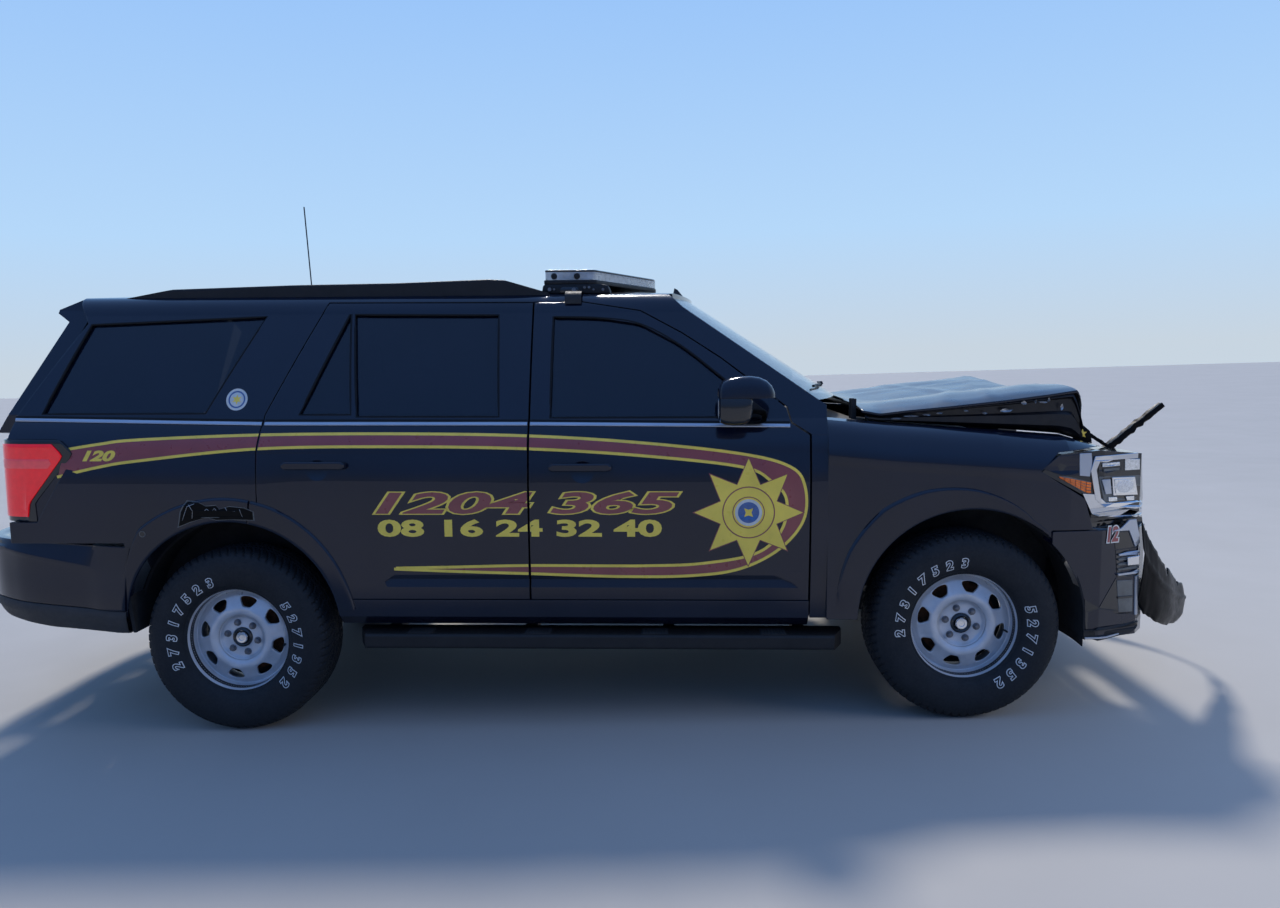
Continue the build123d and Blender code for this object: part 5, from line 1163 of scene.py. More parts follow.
def hood_at(x, k):
    return lerp([(s[0], s[k]) for s in HOOD_ST], x)


def hood_z(x, y):
    w, ze, zs, zc = (hood_at(x, k) for k in (1, 2, 3, 4))
    line = smooth_line([(0, zc), (300, (zs + zc) / 2), (600, zs), (w - 90, ze + 0.62 * (zs - ze)), (w, ze)], 4)
    return lerp(line, min(abs(y), w))


def buckle(x, y):
    """Creases of the damaged panel, stronger towards the front."""
    k = ease((x - 1200) / 500.0)
    n = noise.noise(Vector((x / 210.0, y / 260.0, 3.1)))
    fold = max(0.0, 1 - abs((x - 1640) + 0.32 * (abs(y) - 300)) / 60.0) * 6.0
    fold2 = max(0.0, 1 - abs((x - 1850) - 0.22 * y) / 40.0) * 5.0
    dome = 5.0 * ease((430 - abs(y)) / 50.0)
    edge = ease((862 - abs(y)) / 60.0)
    return dome - 5.0 + (k * 9.0 * n + fold * k * edge + fold2 * k * edge)


xs = [1120 + (2022 - 1120) * i / 60 for i in range(61)]
rows = []
NY = 56
for x in xs:
    w, ze = hood_at(x, 1), hood_at(x, 2)
    row = []
    for j in range(NY + 1):
        t = -1 + 2 * j / NY
        y = w * t
        z = hood_z(x, y) + buckle(x, y) * ease((1 - abs(t)) / 0.12)
        row.append((x, y, z))
    row = [(x, -w, ze - 12), (x, -w - 0.8, ze - 5)] + row + [(x, w + 0.8, ze - 5), (x, w, ze - 12)]
    rows.append(row)
last = rows[-1]
for dx, dz in ((8, -6), (17, -22), (24, -48), (30, -80), (36, -112), (41, -146), (45, -178)):
    rows.append([(last[0][0] + dx + 5 * noise.noise(Vector((p[1] / 90.0, dz / 40.0, 0))), p[1] * (1 - 0.0009 * -dz * 0.4), p[2] + dz * (1 + 0.0004 * (abs(p[1]) - 400)) + (3 * noise.noise(Vector((p[1] / 60.0, 7, dz / 50.0))))) for p in last])
top = sheet("hood_skin", rows, "hood", "hood_lid", thick=2.5, out=(0, 0, 1), sharp=0.7)
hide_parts("hood")
# inner panel: pressed frame under the skin, seen along the sides where the hood stands off the fender
for s in (-1, 1):
    rows = []
    for i in range(57):
        x = 1140 + (2058 - 1140) * i / 56
        w, ze = hood_at(x, 1), hood_at(x, 2)
        zb = lerp([(960, 1318), (1206, 1294), (1445, 1278), (1674, 1262), (1957, 1239), (2150, 1182)], x) + 3
        ztop = ze - 9 - (max(0.0, x - 2006) / 52.0) ** 1.4 * 150
        ztop = max(ztop, zb + 12)
        g = 6.0 * noise.noise(Vector((x / 45.0, 2.0, s)))
        rows.append([(x, s * (min(w, 850) - 5 - d + g * e), ztop - (ztop - zb) * e) for d, e in ((0, 0), (1, 0.08), (16, 0.13), (20, 0.42), (8, 0.5), (8, 0.8), (18, 0.86), (34, 1.0))])
    sheet(f"hood_inner_side_{SIDE_NAME[s]}", rows, "hood_inner", "hood_lid", thick=2.5, out=(0, s, 0), sharp=0.5)
# scraped spots on the inner side
MARKS = ((1730, 1341, 60, 15), (1800, 1372, 22, 20), (1880, 1376, 40, 8), (1905, 1384, 10, 20), (1850, 1380, 9, 16), (1330, 1318, 60, 7), (1395, 1324, 34, 8), (1270, 1308, 46, 6), (1450, 1330, 30, 8), (1560, 1340, 18, 6), (1960, 1352, 12, 30), (1640, 1330, 22, 7))
WOB = [0.13, 0.71, 0.38, 0.92, 0.55, 0.27, 0.64, 0.05, 0.83, 0.46, 0.19, 0.77]
for s in (-1, 1):
    bm = bmesh.new()
    for i, (x, z, l, h) in enumerate(MARKS):
        w = min(hood_at(x, 1), 850)
        pts = []
        for k in range(11):
            t = 2 * math.pi * k / 11
            pts.append((x + l / 2 * math.cos(t) * (0.6 + 0.6 * WOB[(i * 3 + k) % 12]), z + h / 2 * math.sin(t) * (0.5 + 0.8 * WOB[(i + k * 5) % 12])))
        vs = [bm.verts.new((px, s * (w + 1.5), pz)) for px, pz in pts]
        c = bm.verts.new((x, s * (w - 3), z))
        for k in range(11):
            bm.faces.new((vs[k], vs[(k + 1) % 11], c))
    bmesh.ops.recalc_face_normals(bm, faces=bm.faces[:])
    for f in bm.faces:
        if f.normal.y * s < 0:
            f.normal_flip()
    for v in bm.verts:
        v.co = lv(*v.co)
    ob = from_bm(f"hood_scrapes_{SIDE_NAME[s]}", bm, "bare", "hood_lid")
    sol = ob.modifiers.new("thick", "SOLIDIFY")
    sol.thickness = 0.0012
# underside ribs, seen when the hood is open
rows_r = []
for y in (-640, -320, 0, 320, 640):
    rows = []
    for i in range(13):
        x = 1190 + 66 * i
        rows.append([(x, y + dy, hood_z(x, y + dy) - 18 - dz) for dy, dz in ((-44, -2), (-34, 9), (-18, 12), (18, 12), (34, 9), (44, -2))])
    sheet(f"hood_rib_{'abcde'[(y + 640) // 320]}", rows, "hood_inner", "hood_lid", thick=1.5, out=(0, 0, -1), sharp=0.9)
for q, x in enumerate((1180, 1450, 1720, 1960)):
    rows = []
    for i in range(31):
        y = -780 + 52 * i
        rows.append([(x + dx, y, hood_z(x + dx, y) - 18 - dz) for dx, dz in ((-44, -2), (-34, 11), (-18, 14), (18, 14), (34, 11), (44, -2))])
    sheet(f"hood_cross_rib_{q}", rows, "hood_inner", "hood_lid", thick=1.5, out=(0, 0, -1), sharp=0.9)

# ------------------------------------------------------------------ front bumper corners
CORNER = [(1884, 1000), (2100, 962), (2290, 880), (2350, 800)]


def corner_half(x, z):
    return lerp(CORNER, x)


for side in (-1, 1):
    sn = SIDE_NAME[side]

    def trim(name, pts, mat, off, thick=4.0, bevel=1.2, z=20.0):
        return shell(f"{name}_{sn}", spread(pts, 16.0), mat, BODY, side=side, off=off, thick=thick, bevel=bevel, surf=corner_half, zstep=z)

    trim("bumper_top_filler", [(2050, 914), (2120, 903), (2322, 890), (2338, 846), (2046, 846)], "lamp_black", -8, 5, 0)
    trim("bumper_bar_top", [(2146, 840), (2196, 852), (2236, 884), (2270, 884), (2300, 778), (2272, 766), (2236, 838)], "satin", 6, 8, 2.5)
    trim("bumper_dark_corner", [(2158, 838), (2232, 832), (2266, 764), (2170, 764)], "lamp_black", 2, 4, 1)
    trim("bumper_louvre_back", [(2172, 758), (2306, 762), (2306, 640), (2186, 640)], "lamp_black", 2, 4, 1)
    for i in range(5):
        z = 742 - i * 21
        trim(f"bumper_louvre_{i}", [(2184, z), (2298, z + 3), (2298, z - 6), (2188, z - 8)], "satin" if i in (0, 4) else "grey", 11 if i in (0, 4) else 7, 8, 2.5)
    trim("bumper_bright_box", [(2228, 726), (2290, 729), (2290, 690), (2232, 690)], "chrome", 15, 8, 2.5)
    trim("bumper_inner_face", [(2184, 628), (2266, 624), (2272, 486), (2200, 490)], "grey", 3, 4, 2)
    trim("bumper_inner_rib", [(2190, 560), (2268, 557), (2268, 548), (2192, 550)], "lamp_black", 7, 5, 1.5)
    trim("bumper_edge_strip", [(2280, 640), (2300, 640), (2304, 468), (2286, 470)], "satin", 8, 8, 2)
    trim("bumper_lower_black", [(2034, 560), (2100, 520), (2180, 640), (2200, 486), (2300, 478), (2306, 428), (2262, 402), (2136, 392), (2046, 392)], "lamp_black", 2.2, 3, 1)
    trim("bumper_lower_lip", [(2030, 430), (2136, 424), (2230, 430), (2306, 440), (2306, 420), (2262, 398), (2136, 388), (2034, 390)], "black", 10, 12, 4)
    trim("bumper_lip_line", [(2036, 400), (2136, 397), (2200, 404), (2200, 397), (2136, 389), (2038, 391)], "satin", 14, 5, 1.5)
    tn = fit(text_faces("12", 62, shear=0.1, bold=2.5), (2126, 2182, 796, 862))
    tb = fit(text_faces("12", 62, shear=0.1, bold=5.0), (2121, 2187, 791, 867))
    if side > 0:
        tn, tb = mirror_x(tn, 2154), mirror_x(tb, 2154)
    on_side(f"bumper_number_edge_{sn}", tb, "pale", BODY, side, 3.4, surf=corner_half)
    on_side(f"bumper_number_{sn}", tn, "maroon", BODY, side, 4.0, surf=corner_half)

# ------------------------------------------------------------------ torn cover
PATH = smooth_line([(2304, -884), (2400, -826), (2538, -688), (2694, -480), (2797, -214), (2786, 60), (2690, 330), (2556, 556), (2400, 796), (2304, 876)], 14)
TOP = [(2300, 872), (2340, 812), (2377, 755), (2440, 680), (2521, 612), (2600, 560), (2690, 508), (2755, 462), (2800, 446)]
BOT = [(2300, 525), (2340, 470), (2441, 406), (2530, 372), (2608, 356), (2727, 353), (2800, 372)]
rows = []
NT = 16
for j in range(NT + 1):
    t = j / NT
    row = []
    for i, (x, y) in enumerate(PATH):
        a, b = PATH[max(i - 1, 0)], PATH[min(i + 1, len(PATH) - 1)]
        d = math.hypot(b[0] - a[0], b[1] - a[1])
        nx, ny = (b[1] - a[1]) / d, -(b[0] - a[0]) / d
        rag = 12 * noise.noise(Vector((i / 3.1, 1.7, 0))) + 7 * noise.noise(Vector((i / 1.1, 8.0, 0)))
        zt = lerp(TOP, x) + rag - 34 * max(0, 1 - abs(i - 58) / 4.0) - 22 * max(0, 1 - abs(i - 96) / 3.0)
        zb = lerp(BOT, x) + 6 * noise.noise(Vector((i / 2.3, 4.4, 0)))
        z = zb + (zt - zb) * t
        o = 16 * math.sin(math.pi * t) + 9 * noise.noise(Vector((i / 9.0, t * 2.2, 5.5))) - 10 * ease((0.16 - t) / 0.16)
        o += 7 * max(0, 1 - abs(t - 0.62) / 0.07)
        o = min(o, 3.0) if x > 2740 else o * 0.8 - 4
        row.append((x + nx * o, y + ny * o, z))
    rows.append(row)


def torn_gap(j, i):
    # a ragged hole low down near the tip on the right
    return (j in (1, 2) and 44 <= i <= 47) or (j == 1 and i in (43, 48)) or (j == NT - 1 and i in (20, 21, 33, 61, 62, 88)) or (j == NT - 2 and i in (21, 61))


cover = sheet("torn_bumper_cover", rows, "torn", BODY, thick=4.0, out=lambda c: Vector((c.x - 2200, c.y, 0)), skip=torn_gap, sharp=0.8)
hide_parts("bumper_cover")


def ragged_bar(name, p0, p1, w, h, seed, mat="torn", n=26):
    """A broken plastic bar from p0 to p1 (level mm), rough edges, a hollow back."""
    p0, p1 = Vector(p0), Vector(p1)
    d = (p1 - p0).normalized()
    side_v = Vector((0, 1, 0))
    up = d.cross(side_v).normalized()
    rows = []
    for i in range(n + 1):
        t = i / n
        c = p0 + (p1 - p0) * t
        k = 1 - 0.25 * t
        row = []
        for a, b in ((-1, -1), (-0.3, -1.15), (0.4, -1), (1, -0.9), (1.1, 0), (1, 0.9), (0.3, 0.6), (-0.4, 0.75), (-1, 1), (-1.1, 0)):
            q = 0.30 * noise.noise(Vector((t * 14 + seed, a * 2.0, b * 2.0)))
            row.append(tuple(c + side_v * (a * w / 2 * k * (1 + q)) + up * (b * h / 2 * k * (1 + 1.6 * q))))
        rows.append(row)
    bm = bmesh.new()
    vs = [[bm.verts.new(p) for p in r] for r in rows]
    m = len(vs[0])
    for a, b in zip(vs[:-1], vs[1:]):
        for i in range(m):
            bm.faces.new((a[i], a[(i + 1) % m], b[(i + 1) % m], b[i]))
    bm.faces.new(vs[0][::-1])
    bm.faces.new(vs[-1])
    bmesh.ops.recalc_face_normals(bm, faces=bm.faces[:])
    for v in bm.verts:
        v.co = lv(*v.co)
    return from_bm(name, bm, mat, BODY, smooth=True)


g = ragged_bar("grille_arm_long", (2244, -600, 1142), (2496, -600, 1352), 44, 30, 1.0)
g.data.set_sharp_from_angle(angle=0.5)
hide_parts("grille_remains")
ragged_bar("grille_arm_short", (2105, -620, 1264), (2272, -610, 1160), 18, 16, 5.0).data.set_sharp_from_angle(angle=0.5)
ragged_bar("grille_foot", (2215, -600, 1146), (2306, -600, 1140), 62, 40, 9.0, n=8).data.set_sharp_from_angle(angle=0.5)
for i, (z, y1) in enumerate(((963, 420), (863, 180))):
    rows = []
    for k in range(41):
        y = -600 + (y1 + 600) * k / 40
        g1 = 3.0 * noise.noise(Vector((y / 40.0, z, 0)))
        rows.append([(2311 + dx, y, z + dz + g1) for dx, dz in ((0, 8), (26, 3), (30, -1), (28, -7), (4, -2), (0, 8))])
    sheet(f"grille_slat_{i}", rows, "torn", BODY, thick=0, out=(1, 0, 0.3), sharp=0.7)
# small gold star on the black tab above the lamp
tab = slab("grille_tab", [(2078, 1196), (2068, 1262), (2100, 1282), (2150, 1240), (2160, 1186)], -690, -684, "torn", BODY, bevel=2)
slab("grille_tab_star", star((2112, 1228), 24, 12, 6, 20), -693, -690, "gold", BODY, bevel=0.8)

# ------------------------------------------------------------------ belt line, pillars, handles
for side in (-1, 1):
    sn = SIDE_NAME[side]
    for nm, x0, x1, z0, z1, b in (("quarter", -2484, -1414, 1332, 1312, BODY), ("rear", -1402, -288, 1312, 1308, DOOR[("rear", side)]), ("front", -276, 806, 1308, 1297, DOOR[("front", side)])):
        rows = []
        seal = []
        for i in range(41):
            x, z = x0 + (x1 - x0) * i / 40, z0 + (z1 - z0) * i / 40
            rows.append([(x, side * (half(x, z + dz) + o), z + dz) for dz, o in ((0, 0), (-0.5, 4.0), (-3, 6.0), (-7.5, 6.6), (-12, 5.6), (-14.5, 3.6), (-15, 0))])
            seal.append([(x, side * (half(x, z + dz) + o), z + dz) for dz, o in ((9, 0), (8.5, 3.5), (5, 4.6), (0.5, 4.0), (0, 0))])
        sheet(f"belt_trim_{nm}_{sn}", rows, "satin", b, thick=0, out=(0, side, 0), sharp=1.0)
        sheet(f"belt_seal_{nm}_{sn}", seal, "seal", b, thick=0, out=(0, side, 0), sharp=1.0)

# glass run seals: a thin black frame round each window, on its own panel
WINDOWS = {
    "front": [[(-195, 1322)] + smooth_line([(-195, 1749), (8, 1743), (181, 1716), (352, 1625), (511, 1502), (700, 1350)], 6) + [(700, 1322)]],
    "rear": [[(-1016, 1329), (-1062, 1765), (-431, 1759), (-410, 1327)], [(-1262, 1338), (-1085, 1765), (-1077, 1765), (-1040, 1338)]],
    "quarter": [[(-2375, 1345), (-2225, 1729), (-1449, 1759), (-1665, 1345)]],
}
for side in (-1, 1):
    for w, outlines in WINDOWS.items():
        b = BODY if w == "quarter" else DOOR[(w, side)]
        for i, o in enumerate(outlines):
            o = spread(o, 60)
            pts = [lv(x, side * (half(x, z) - 4), z) for x, z in o]
            tube(f"window_seal_{w}_{i}_{SIDE_NAME[side]}", pts, 0.0055, "seal", b, n=8, closed=True)


# ------------------------------------------------------------------ outside mirrors
# Section rings (y, z) along x: flat glass side at the back, rounded nose in front.
MIRROR_SECT = [(504, 1330, 1448, 0.84), (509, 1320, 1462, 0.93), (522, 1312, 1478, 0.985), (548, 1306, 1490, 1.0), (590, 1302, 1497, 1.0), (630, 1300, 1498, 1.0), (664, 1300, 1493, 0.975),
               (694, 1302, 1480, 0.93), (714, 1306, 1462, 0.86), (727, 1312, 1440, 0.76), (732, 1330, 1420, 0.64)]
LOWER_SECT = [(505, 1322, 1430, 0.83), (511, 1310, 1430, 0.92), (530, 1303, 1430, 0.975), (570, 1300, 1430, 0.99), (606, 1304, 1430, 0.985), (626, 1314, 1430, 0.96), (636, 1334, 1430, 0.90), (640, 1362, 1430, 0.84)]


def mirror_shell(sect, side, x_lo, x_hi, z_lo, z_hi, grow=0.0):
    """Rings of the mirror housing, held between two heights."""
    rows = []
    n = 28
    for x, z0, z1, wk in sect:
        if x < x_lo or x > x_hi:
            continue
        z0g, z1g = z0 - grow, z1 + grow
        yi, yo = 1010 - grow, 1008 + 142 * wk + grow
        cy, cz, ry, rz = (yi + yo) / 2, (z0g + z1g) / 2, (yo - yi) / 2, (z1g - z0g) / 2
        row = []
        for k in range(n):
            t = 2 * math.pi * k / n
            c, s_ = math.cos(t), math.sin(t)
            e = 0.42
            y = cy + ry * math.copysign(abs(c) ** e, c)
            z = cz + rz * math.copysign(abs(s_) ** e, s_)
            row.append((x, side * y, min(max(z, z_lo), z_hi)))
        rows.append(row)
    return rows


for side in (-1, 1):
    sn = SIDE_NAME[side]
    b = DOOR[("front", side)]
    out = lambda q, s=side: Vector(((q.x - 600) / 160, (q.y - s * 1075) / 80, (q.z - 1400) / 100))
    for key, sect, z_lo, z_hi, mt in (("cap", MIRROR_SECT, 1409, 1520, "paint"), ("housing", LOWER_SECT, 1290, 1411, "gloss")):
        rows = mirror_shell(sect, side, 500, 740, z_lo, z_hi)
        last = rows[-1]
        c = (last[0][0] + 0.6, sum(p[1] for p in last) / len(last), sum(p[2] for p in last) / len(last))
        rows.append([tuple(p[i] * 0.6 + c[i] * 0.4 for i in range(3)) for p in last])
        rows.append([c] * len(last))
        first = rows[0]
        cf = (sum(p[1] for p in first) / len(first), sum(p[2] for p in first) / len(first))
        inner = [[(first[0][0] + dx, cf[0] + (p[1] - cf[0]) * k, cf[1] + (p[2] - cf[1]) * k) for p in first] for dx, k in ((0.5, 0.96), (7.0, 0.93), (8.0, 0.5))]
        inner.append([(first[0][0] + 8.0, cf[0], cf[1])] * len(first))
        ob = sheet(f"mirror_{key}_{sn}", inner[::-1] + rows, mt, b, thick=0, out=out, sharp=0.7, closed=True)
        if key == "housing":
            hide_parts(f"mirror_{sn}")
    # arm and sail patch in the corner of the door glass
    arm = []
    for y, x0, x1, z0, z1 in ((952, 576, 690, 1308, 1336), (985, 574, 694, 1302, 1338), (1012, 570, 700, 1300, 1346), (1030, 566, 704, 1300, 1360)):
        row = []
        for k in range(20):
            t = 2 * math.pi * k / 20
            c_, s_ = math.cos(t), math.sin(t)
            row.append(((x0 + x1) / 2 + (x1 - x0) / 2 * math.copysign(abs(c_) ** 0.5, c_), side * y, (z0 + z1) / 2 + (z1 - z0) / 2 * math.copysign(abs(s_) ** 0.5, s_)))
        arm.append(row)
    sheet(f"mirror_arm_{sn}", arm, "black", b, thick=0, out=lambda q: Vector((0, 0, (q.z - 1320) / 20)), sharp=0.8, closed=True)
    shell(f"mirror_sail_{sn}", spread([(598, 1322), (712, 1322), (712, 1348), (598, 1432)], 20.0), "black", b, side=side, off=2.0, thick=6, bevel=1.5, slot="black_plastic")
    # mirror glass, facing back
    ym, zm = side * 1064, 1371
    bm = bmesh.new()
    pts = rect(-48, 48, -44, 44, 14, 5)
    fc = bm.faces.new([bm.verts.new((503.2, ym + p[0], zm + p[1])) for p in pts])
    r = bmesh.ops.extrude_face_region(bm, geom=[fc])
    for v in r["geom"]:
        if isinstance(v, bmesh.types.BMVert):
            v.co.x = 506.5
    bmesh.ops.recalc_face_normals(bm, faces=bm.faces[:])
    for v in bm.verts:
        v.co = lv(*v.co)
    from_bm(f"mirror_glass_{sn}", bm, "mirror", b)

# ------------------------------------------------------------------ light bar
BAR = [(-256, -640), (-20, -640), (232, -60), (237, 0), (232, 60), (-20, 640), (-256, 640), (-40, 60), (-34, 0), (-40, -60)]


def poly_offset(pts, d):
    """Closed outline moved inwards by d."""
    n = len(pts)
    area = sum(pts[i][0] * pts[(i + 1) % n][1] - pts[(i + 1) % n][0] * pts[i][1] for i in range(n))
    sg = 1 if area > 0 else -1
    out = []
    for i in range(n):
        p0, p1, p2 = Vector(pts[i - 1]), Vector(pts[i]), Vector(pts[(i + 1) % n])
        a, c = (p1 - p0).normalized(), (p2 - p1).normalized()
        na, nc = Vector((-a.y, a.x)) * sg, Vector((-c.y, c.x)) * sg
        m = (na + nc)
        if m.length < 1e-6:
            m = na
        m.normalize()
        k = d / max(0.35, m.dot(na))
        q = p1 + m * k
        out.append((q.x, q.y))
    return out


def round_corners(pts, r, n=4):
    out = []
    m = len(pts)
    for i in range(m):
        p0, p1, p2 = Vector(pts[i - 1]), Vector(pts[i]), Vector(pts[(i + 1) % m])
        a, c = (p0 - p1), (p2 - p1)
        k = min(r, a.length * 0.4, c.length * 0.4)
        s0, s2 = p1 + a.normalized() * k, p1 + c.normalized() * k
        for j in range(n + 1):
            t = j / n
            q = s0 * (1 - t) ** 2 + p1 * 2 * t * (1 - t) + s2 * t * t
            out.append((q.x, q.y))
    return out


def cap_fill(name, plan, z0, z1, mat, bevel=2.0):
    """Flat plate of the bar's plan between two heights."""
    bm = bmesh.new()
    f = bm.faces.new([bm.verts.new((x, y, z0)) for x, y in plan])
    r = bmesh.ops.extrude_face_region(bm, geom=[f])
    for v in r["geom"]:
        if isinstance(v, bmesh.types.BMVert):
            v.co.z = z1
    bmesh.ops.recalc_face_normals(bm, faces=bm.faces[:])
    if bevel:
        es = [e for e in bm.edges if len(e.link_faces) == 2 and abs(e.verts[0].co.z - e.verts[1].co.z) < 0.01]
        bmesh.ops.bevel(bm, geom=es, offset=bevel, segments=3, affect="EDGES", profile=0.5, clamp_overlap=True)
    for v in bm.verts:
        v.co = lv(*v.co)
    ob = from_bm(name, bm, mat, BODY, smooth=True)
    ob.data.set_sharp_from_angle(angle=0.6)
    return ob


tray = cap_fill("light_bar_tray", round_corners(BAR, 18, 5), 1898, 1917, "black", 4)
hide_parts("light_bar")
cover = cap_fill("light_bar_cover", round_corners(poly_offset(BAR, 3), 18, 5), 1953, 1961.5, "lamp_black", 3.5)
# the clear band between tray and cover: every long side is a lens with upright ribs
rows = []
band = round_corners(poly_offset(BAR, 4), 16, 5)
dense = []
for i in range(len(band)):
    a, c = Vector(band[i]), Vector(band[(i + 1) % len(band)])
    m = max(1, int((c - a).length / 9))
    dense += [tuple(a + (c - a) * (k / m)) for k in range(m)]
cen = (60.0, 0.0)
nrm = poly_offset(dense, 1.0)
for z, d in ((1917, 0), (1921, 0.2), (1949, 0.2), (1953, 0)):
    rows.append([(p[0] + (q[0] - p[0]) * (d + (1.6 if i % 2 else 0.0)), p[1] + (q[1] - p[1]) * (d + (1.6 if i % 2 else 0.0)), z) for i, (p, q) in enumerate(zip(dense, nrm))])
lens = sheet("light_bar_band", rows, "ribbed", BODY, thick=2.0, closed=True, sharp=0.9, out=None)
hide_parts("light_bar_lens")
# modules inside: reflector blocks along both front arms and the back edges
bm_r = bmesh.new()
bm_l = bmesh.new()
for s in (-1, 1):
    arm_f = (Vector((214, s * 70)), Vector((-26, s * 618)))
    arm_b = (Vector((-54, s * 90)), Vector((-236, s * 566)))
    for (p0, p1), inw, cnt in ((arm_f, -1, 9), (arm_b, 1, 8)):
        d = (p1 - p0)
        u = d.normalized()
        nvec = Vector((u.y, -u.x)) * (1 if u.y * s > 0 else -1)
        nvec = nvec if nvec.x * inw > 0 else -nvec
        ang = math.atan2(u.y, u.x)
        for k in range(cnt):
            c = p0 + d * ((k + 0.5) / cnt)
            c = c + nvec * 34
            L = d.length / cnt - 8
            box_piece(bm_r, (c.x, c.y, 1934), (L, 34, 26), rot=Matrix.Rotation(ang, 3, "Z"), bevel=1.5)
            for q in range(3):
                cc = c - nvec * 17.5 + u * ((q - 1) * L / 3)
                box_piece(bm_l, (cc.x, cc.y, 1934), (L / 4.2, 6, 15), rot=Matrix.Rotation(ang, 3, "Z"), bevel=1.2)
for nm, bmx, mt in (("light_bar_modules", bm_r, "bulb"), ("light_bar_diodes", bm_l, "led")):
    for v in bmx.verts:
        v.co = lv(*v.co)
    from_bm(nm, bmx, mt, BODY)
# end caps and round fasteners
bm = bmesh.new()
for s in (-1, 1):
    for x in (-238, -150, -62):
        for z in (1908,):
            mt = Matrix.Translation((x, s * 640.4, z)) @ Matrix.Rotation(math.pi / 2, 4, "X")
            bmesh.ops.create_cone(bm, cap_ends=True, segments=20, radius1=6.5, radius2=5.5, depth=5, matrix=mt)
    for x in (-206, -104):
        mt = Matrix.Translation((x, s * 639, 1934)) @ Matrix.Rotation(math.pi / 2, 4, "X")
        bmesh.ops.create_cone(bm, cap_ends=True, segments=28, radius1=14, radius2=12, depth=5, matrix=mt)
        mt = Matrix.Translation((x, s * 641, 1934)) @ Matrix.Rotation(math.pi / 2, 4, "X")
        bmesh.ops.create_cone(bm, cap_ends=True, segments=24, radius1=7, radius2=6, depth=7, matrix=mt)
for v in bm.verts:
    v.co = lv(*v.co)
from_bm("light_bar_fasteners", bm, "black", BODY)
# strap from each foot down to the roof gutter
for s in (-1, 1):
    path = smooth_line([(610, 1869), (700, 1865), (738, 1858), (755, 1848), (763, 1834), (765, 1806)], 4)
    rows = [[(x, s * y, z) for y, z in path] for x in (-146, -142, -78, -74)]
    sheet(f"light_bar_strap_{SIDE_NAME[s]}", rows, "steel", BODY, thick=3.0, out=(0, 0, 1), sharp=0.8, bevel=0.8)
    bm = bmesh.new()
    bmesh.ops.create_cone(bm, cap_ends=True, segments=6, radius1=8, radius2=8, depth=5, matrix=Matrix.Translation((-110, s * 690, 1868.5)))
    bmesh.ops.create_cone(bm, cap_ends=True, segments=20, radius1=11, radius2=11, depth=1.5, matrix=Matrix.Translation((-110, s * 690, 1866)))
    for v in bm.verts:
        v.co = lv(*v.co)
    from_bm(f"light_bar_bolt_{SIDE_NAME[s]}", bm, "nut", BODY)

for side in (-1, 1):
    sn = SIDE_NAME[side]
    slab(f"light_bar_base_{sn}", [(-262, 1857), (46, 1857), (34, 1893), (4, 1899), (-246, 1899), (-256, 1892)], side * 500 if side > 0 else -641, 641 if side > 0 else -500, "black", BODY, bevel=5)
    slab(f"light_bar_foot_window_{sn}", [(-178, 1862), (-96, 1862), (-96, 1878), (-104, 1886), (-170, 1886), (-178, 1878)], side * 640 if side > 0 else -643, 643 if side > 0 else -640, "lamp_black", BODY, bevel=0.8)
    bm = bmesh.new()
    for x, z, r in ((-226, 1876, 9), (-206, 1876, 5), (-70, 1884, 6), (-50, 1884, 6), (12, 1874, 7), (-30, 1874, 5), (-118, 1874, 10)):
        mt = Matrix.Translation((x, side * 643.5, z)) @ Matrix.Rotation(math.pi / 2, 4, "X")
        bmesh.ops.create_cone(bm, cap_ends=True, segments=20, radius1=r, radius2=r * 0.85, depth=5, matrix=mt)
    for v in bm.verts:
        v.co = lv(*v.co)
    from_bm(f"light_bar_base_screws_{sn}", bm, "nut", BODY)

# ------------------------------------------------------------------ running boards: step pads with ribs
for side in (-1, 1):
    sn = SIDE_NAME[side]
    b = BODY
    edge_y = 1007
    bm = bmesh.new()
    for x0, x1 in ((-815, -706), (-312, -200), (187, 298), (689, 796)):
        box_piece(bm, ((x0 + x1) / 2, side * 956, 411.2), (x1 - x0, 88, 2.4), bevel=1.0)
        for q in range(int((x1 - x0) / 13)):
            box_piece(bm, (x0 + 9 + q * 13, side * 956, 413.2), (6, 76, 2.6), bevel=0.9)
    for v in bm.verts:
        v.co = lv(*v.co)
    from_bm(f"step_pads_{sn}", bm, "board", b)

# ------------------------------------------------------------------ front tyre spats
for side in (-1, 1):
    sn = SIDE_NAME[side]
    rows = [[(2036 + 4 * math.sin(y / 60), side * y, z) for z in (354, 390, 430, 480)] for y in range(560, 961, 20)]
    sheet(f"front_tyre_spat_{sn}", rows, "liner", BODY, thick=4, out=(-1, 0, 0), sharp=0.9)

# ------------------------------------------------------------------ radiator fins and tubes
bm = bmesh.new()
for i in range(58):
    box_piece(bm, (2303.4, 0, 524 + i * 9.7), (2.6, 1290, 1.6))
for i in range(48):
    box_piece(bm, (2304.2, -634 + i * 27, 800), (3.4, 3.2, 560))
for v in bm.verts:
    v.co = lv(*v.co)
from_bm("radiator_fins", bm, "leaf", BODY)

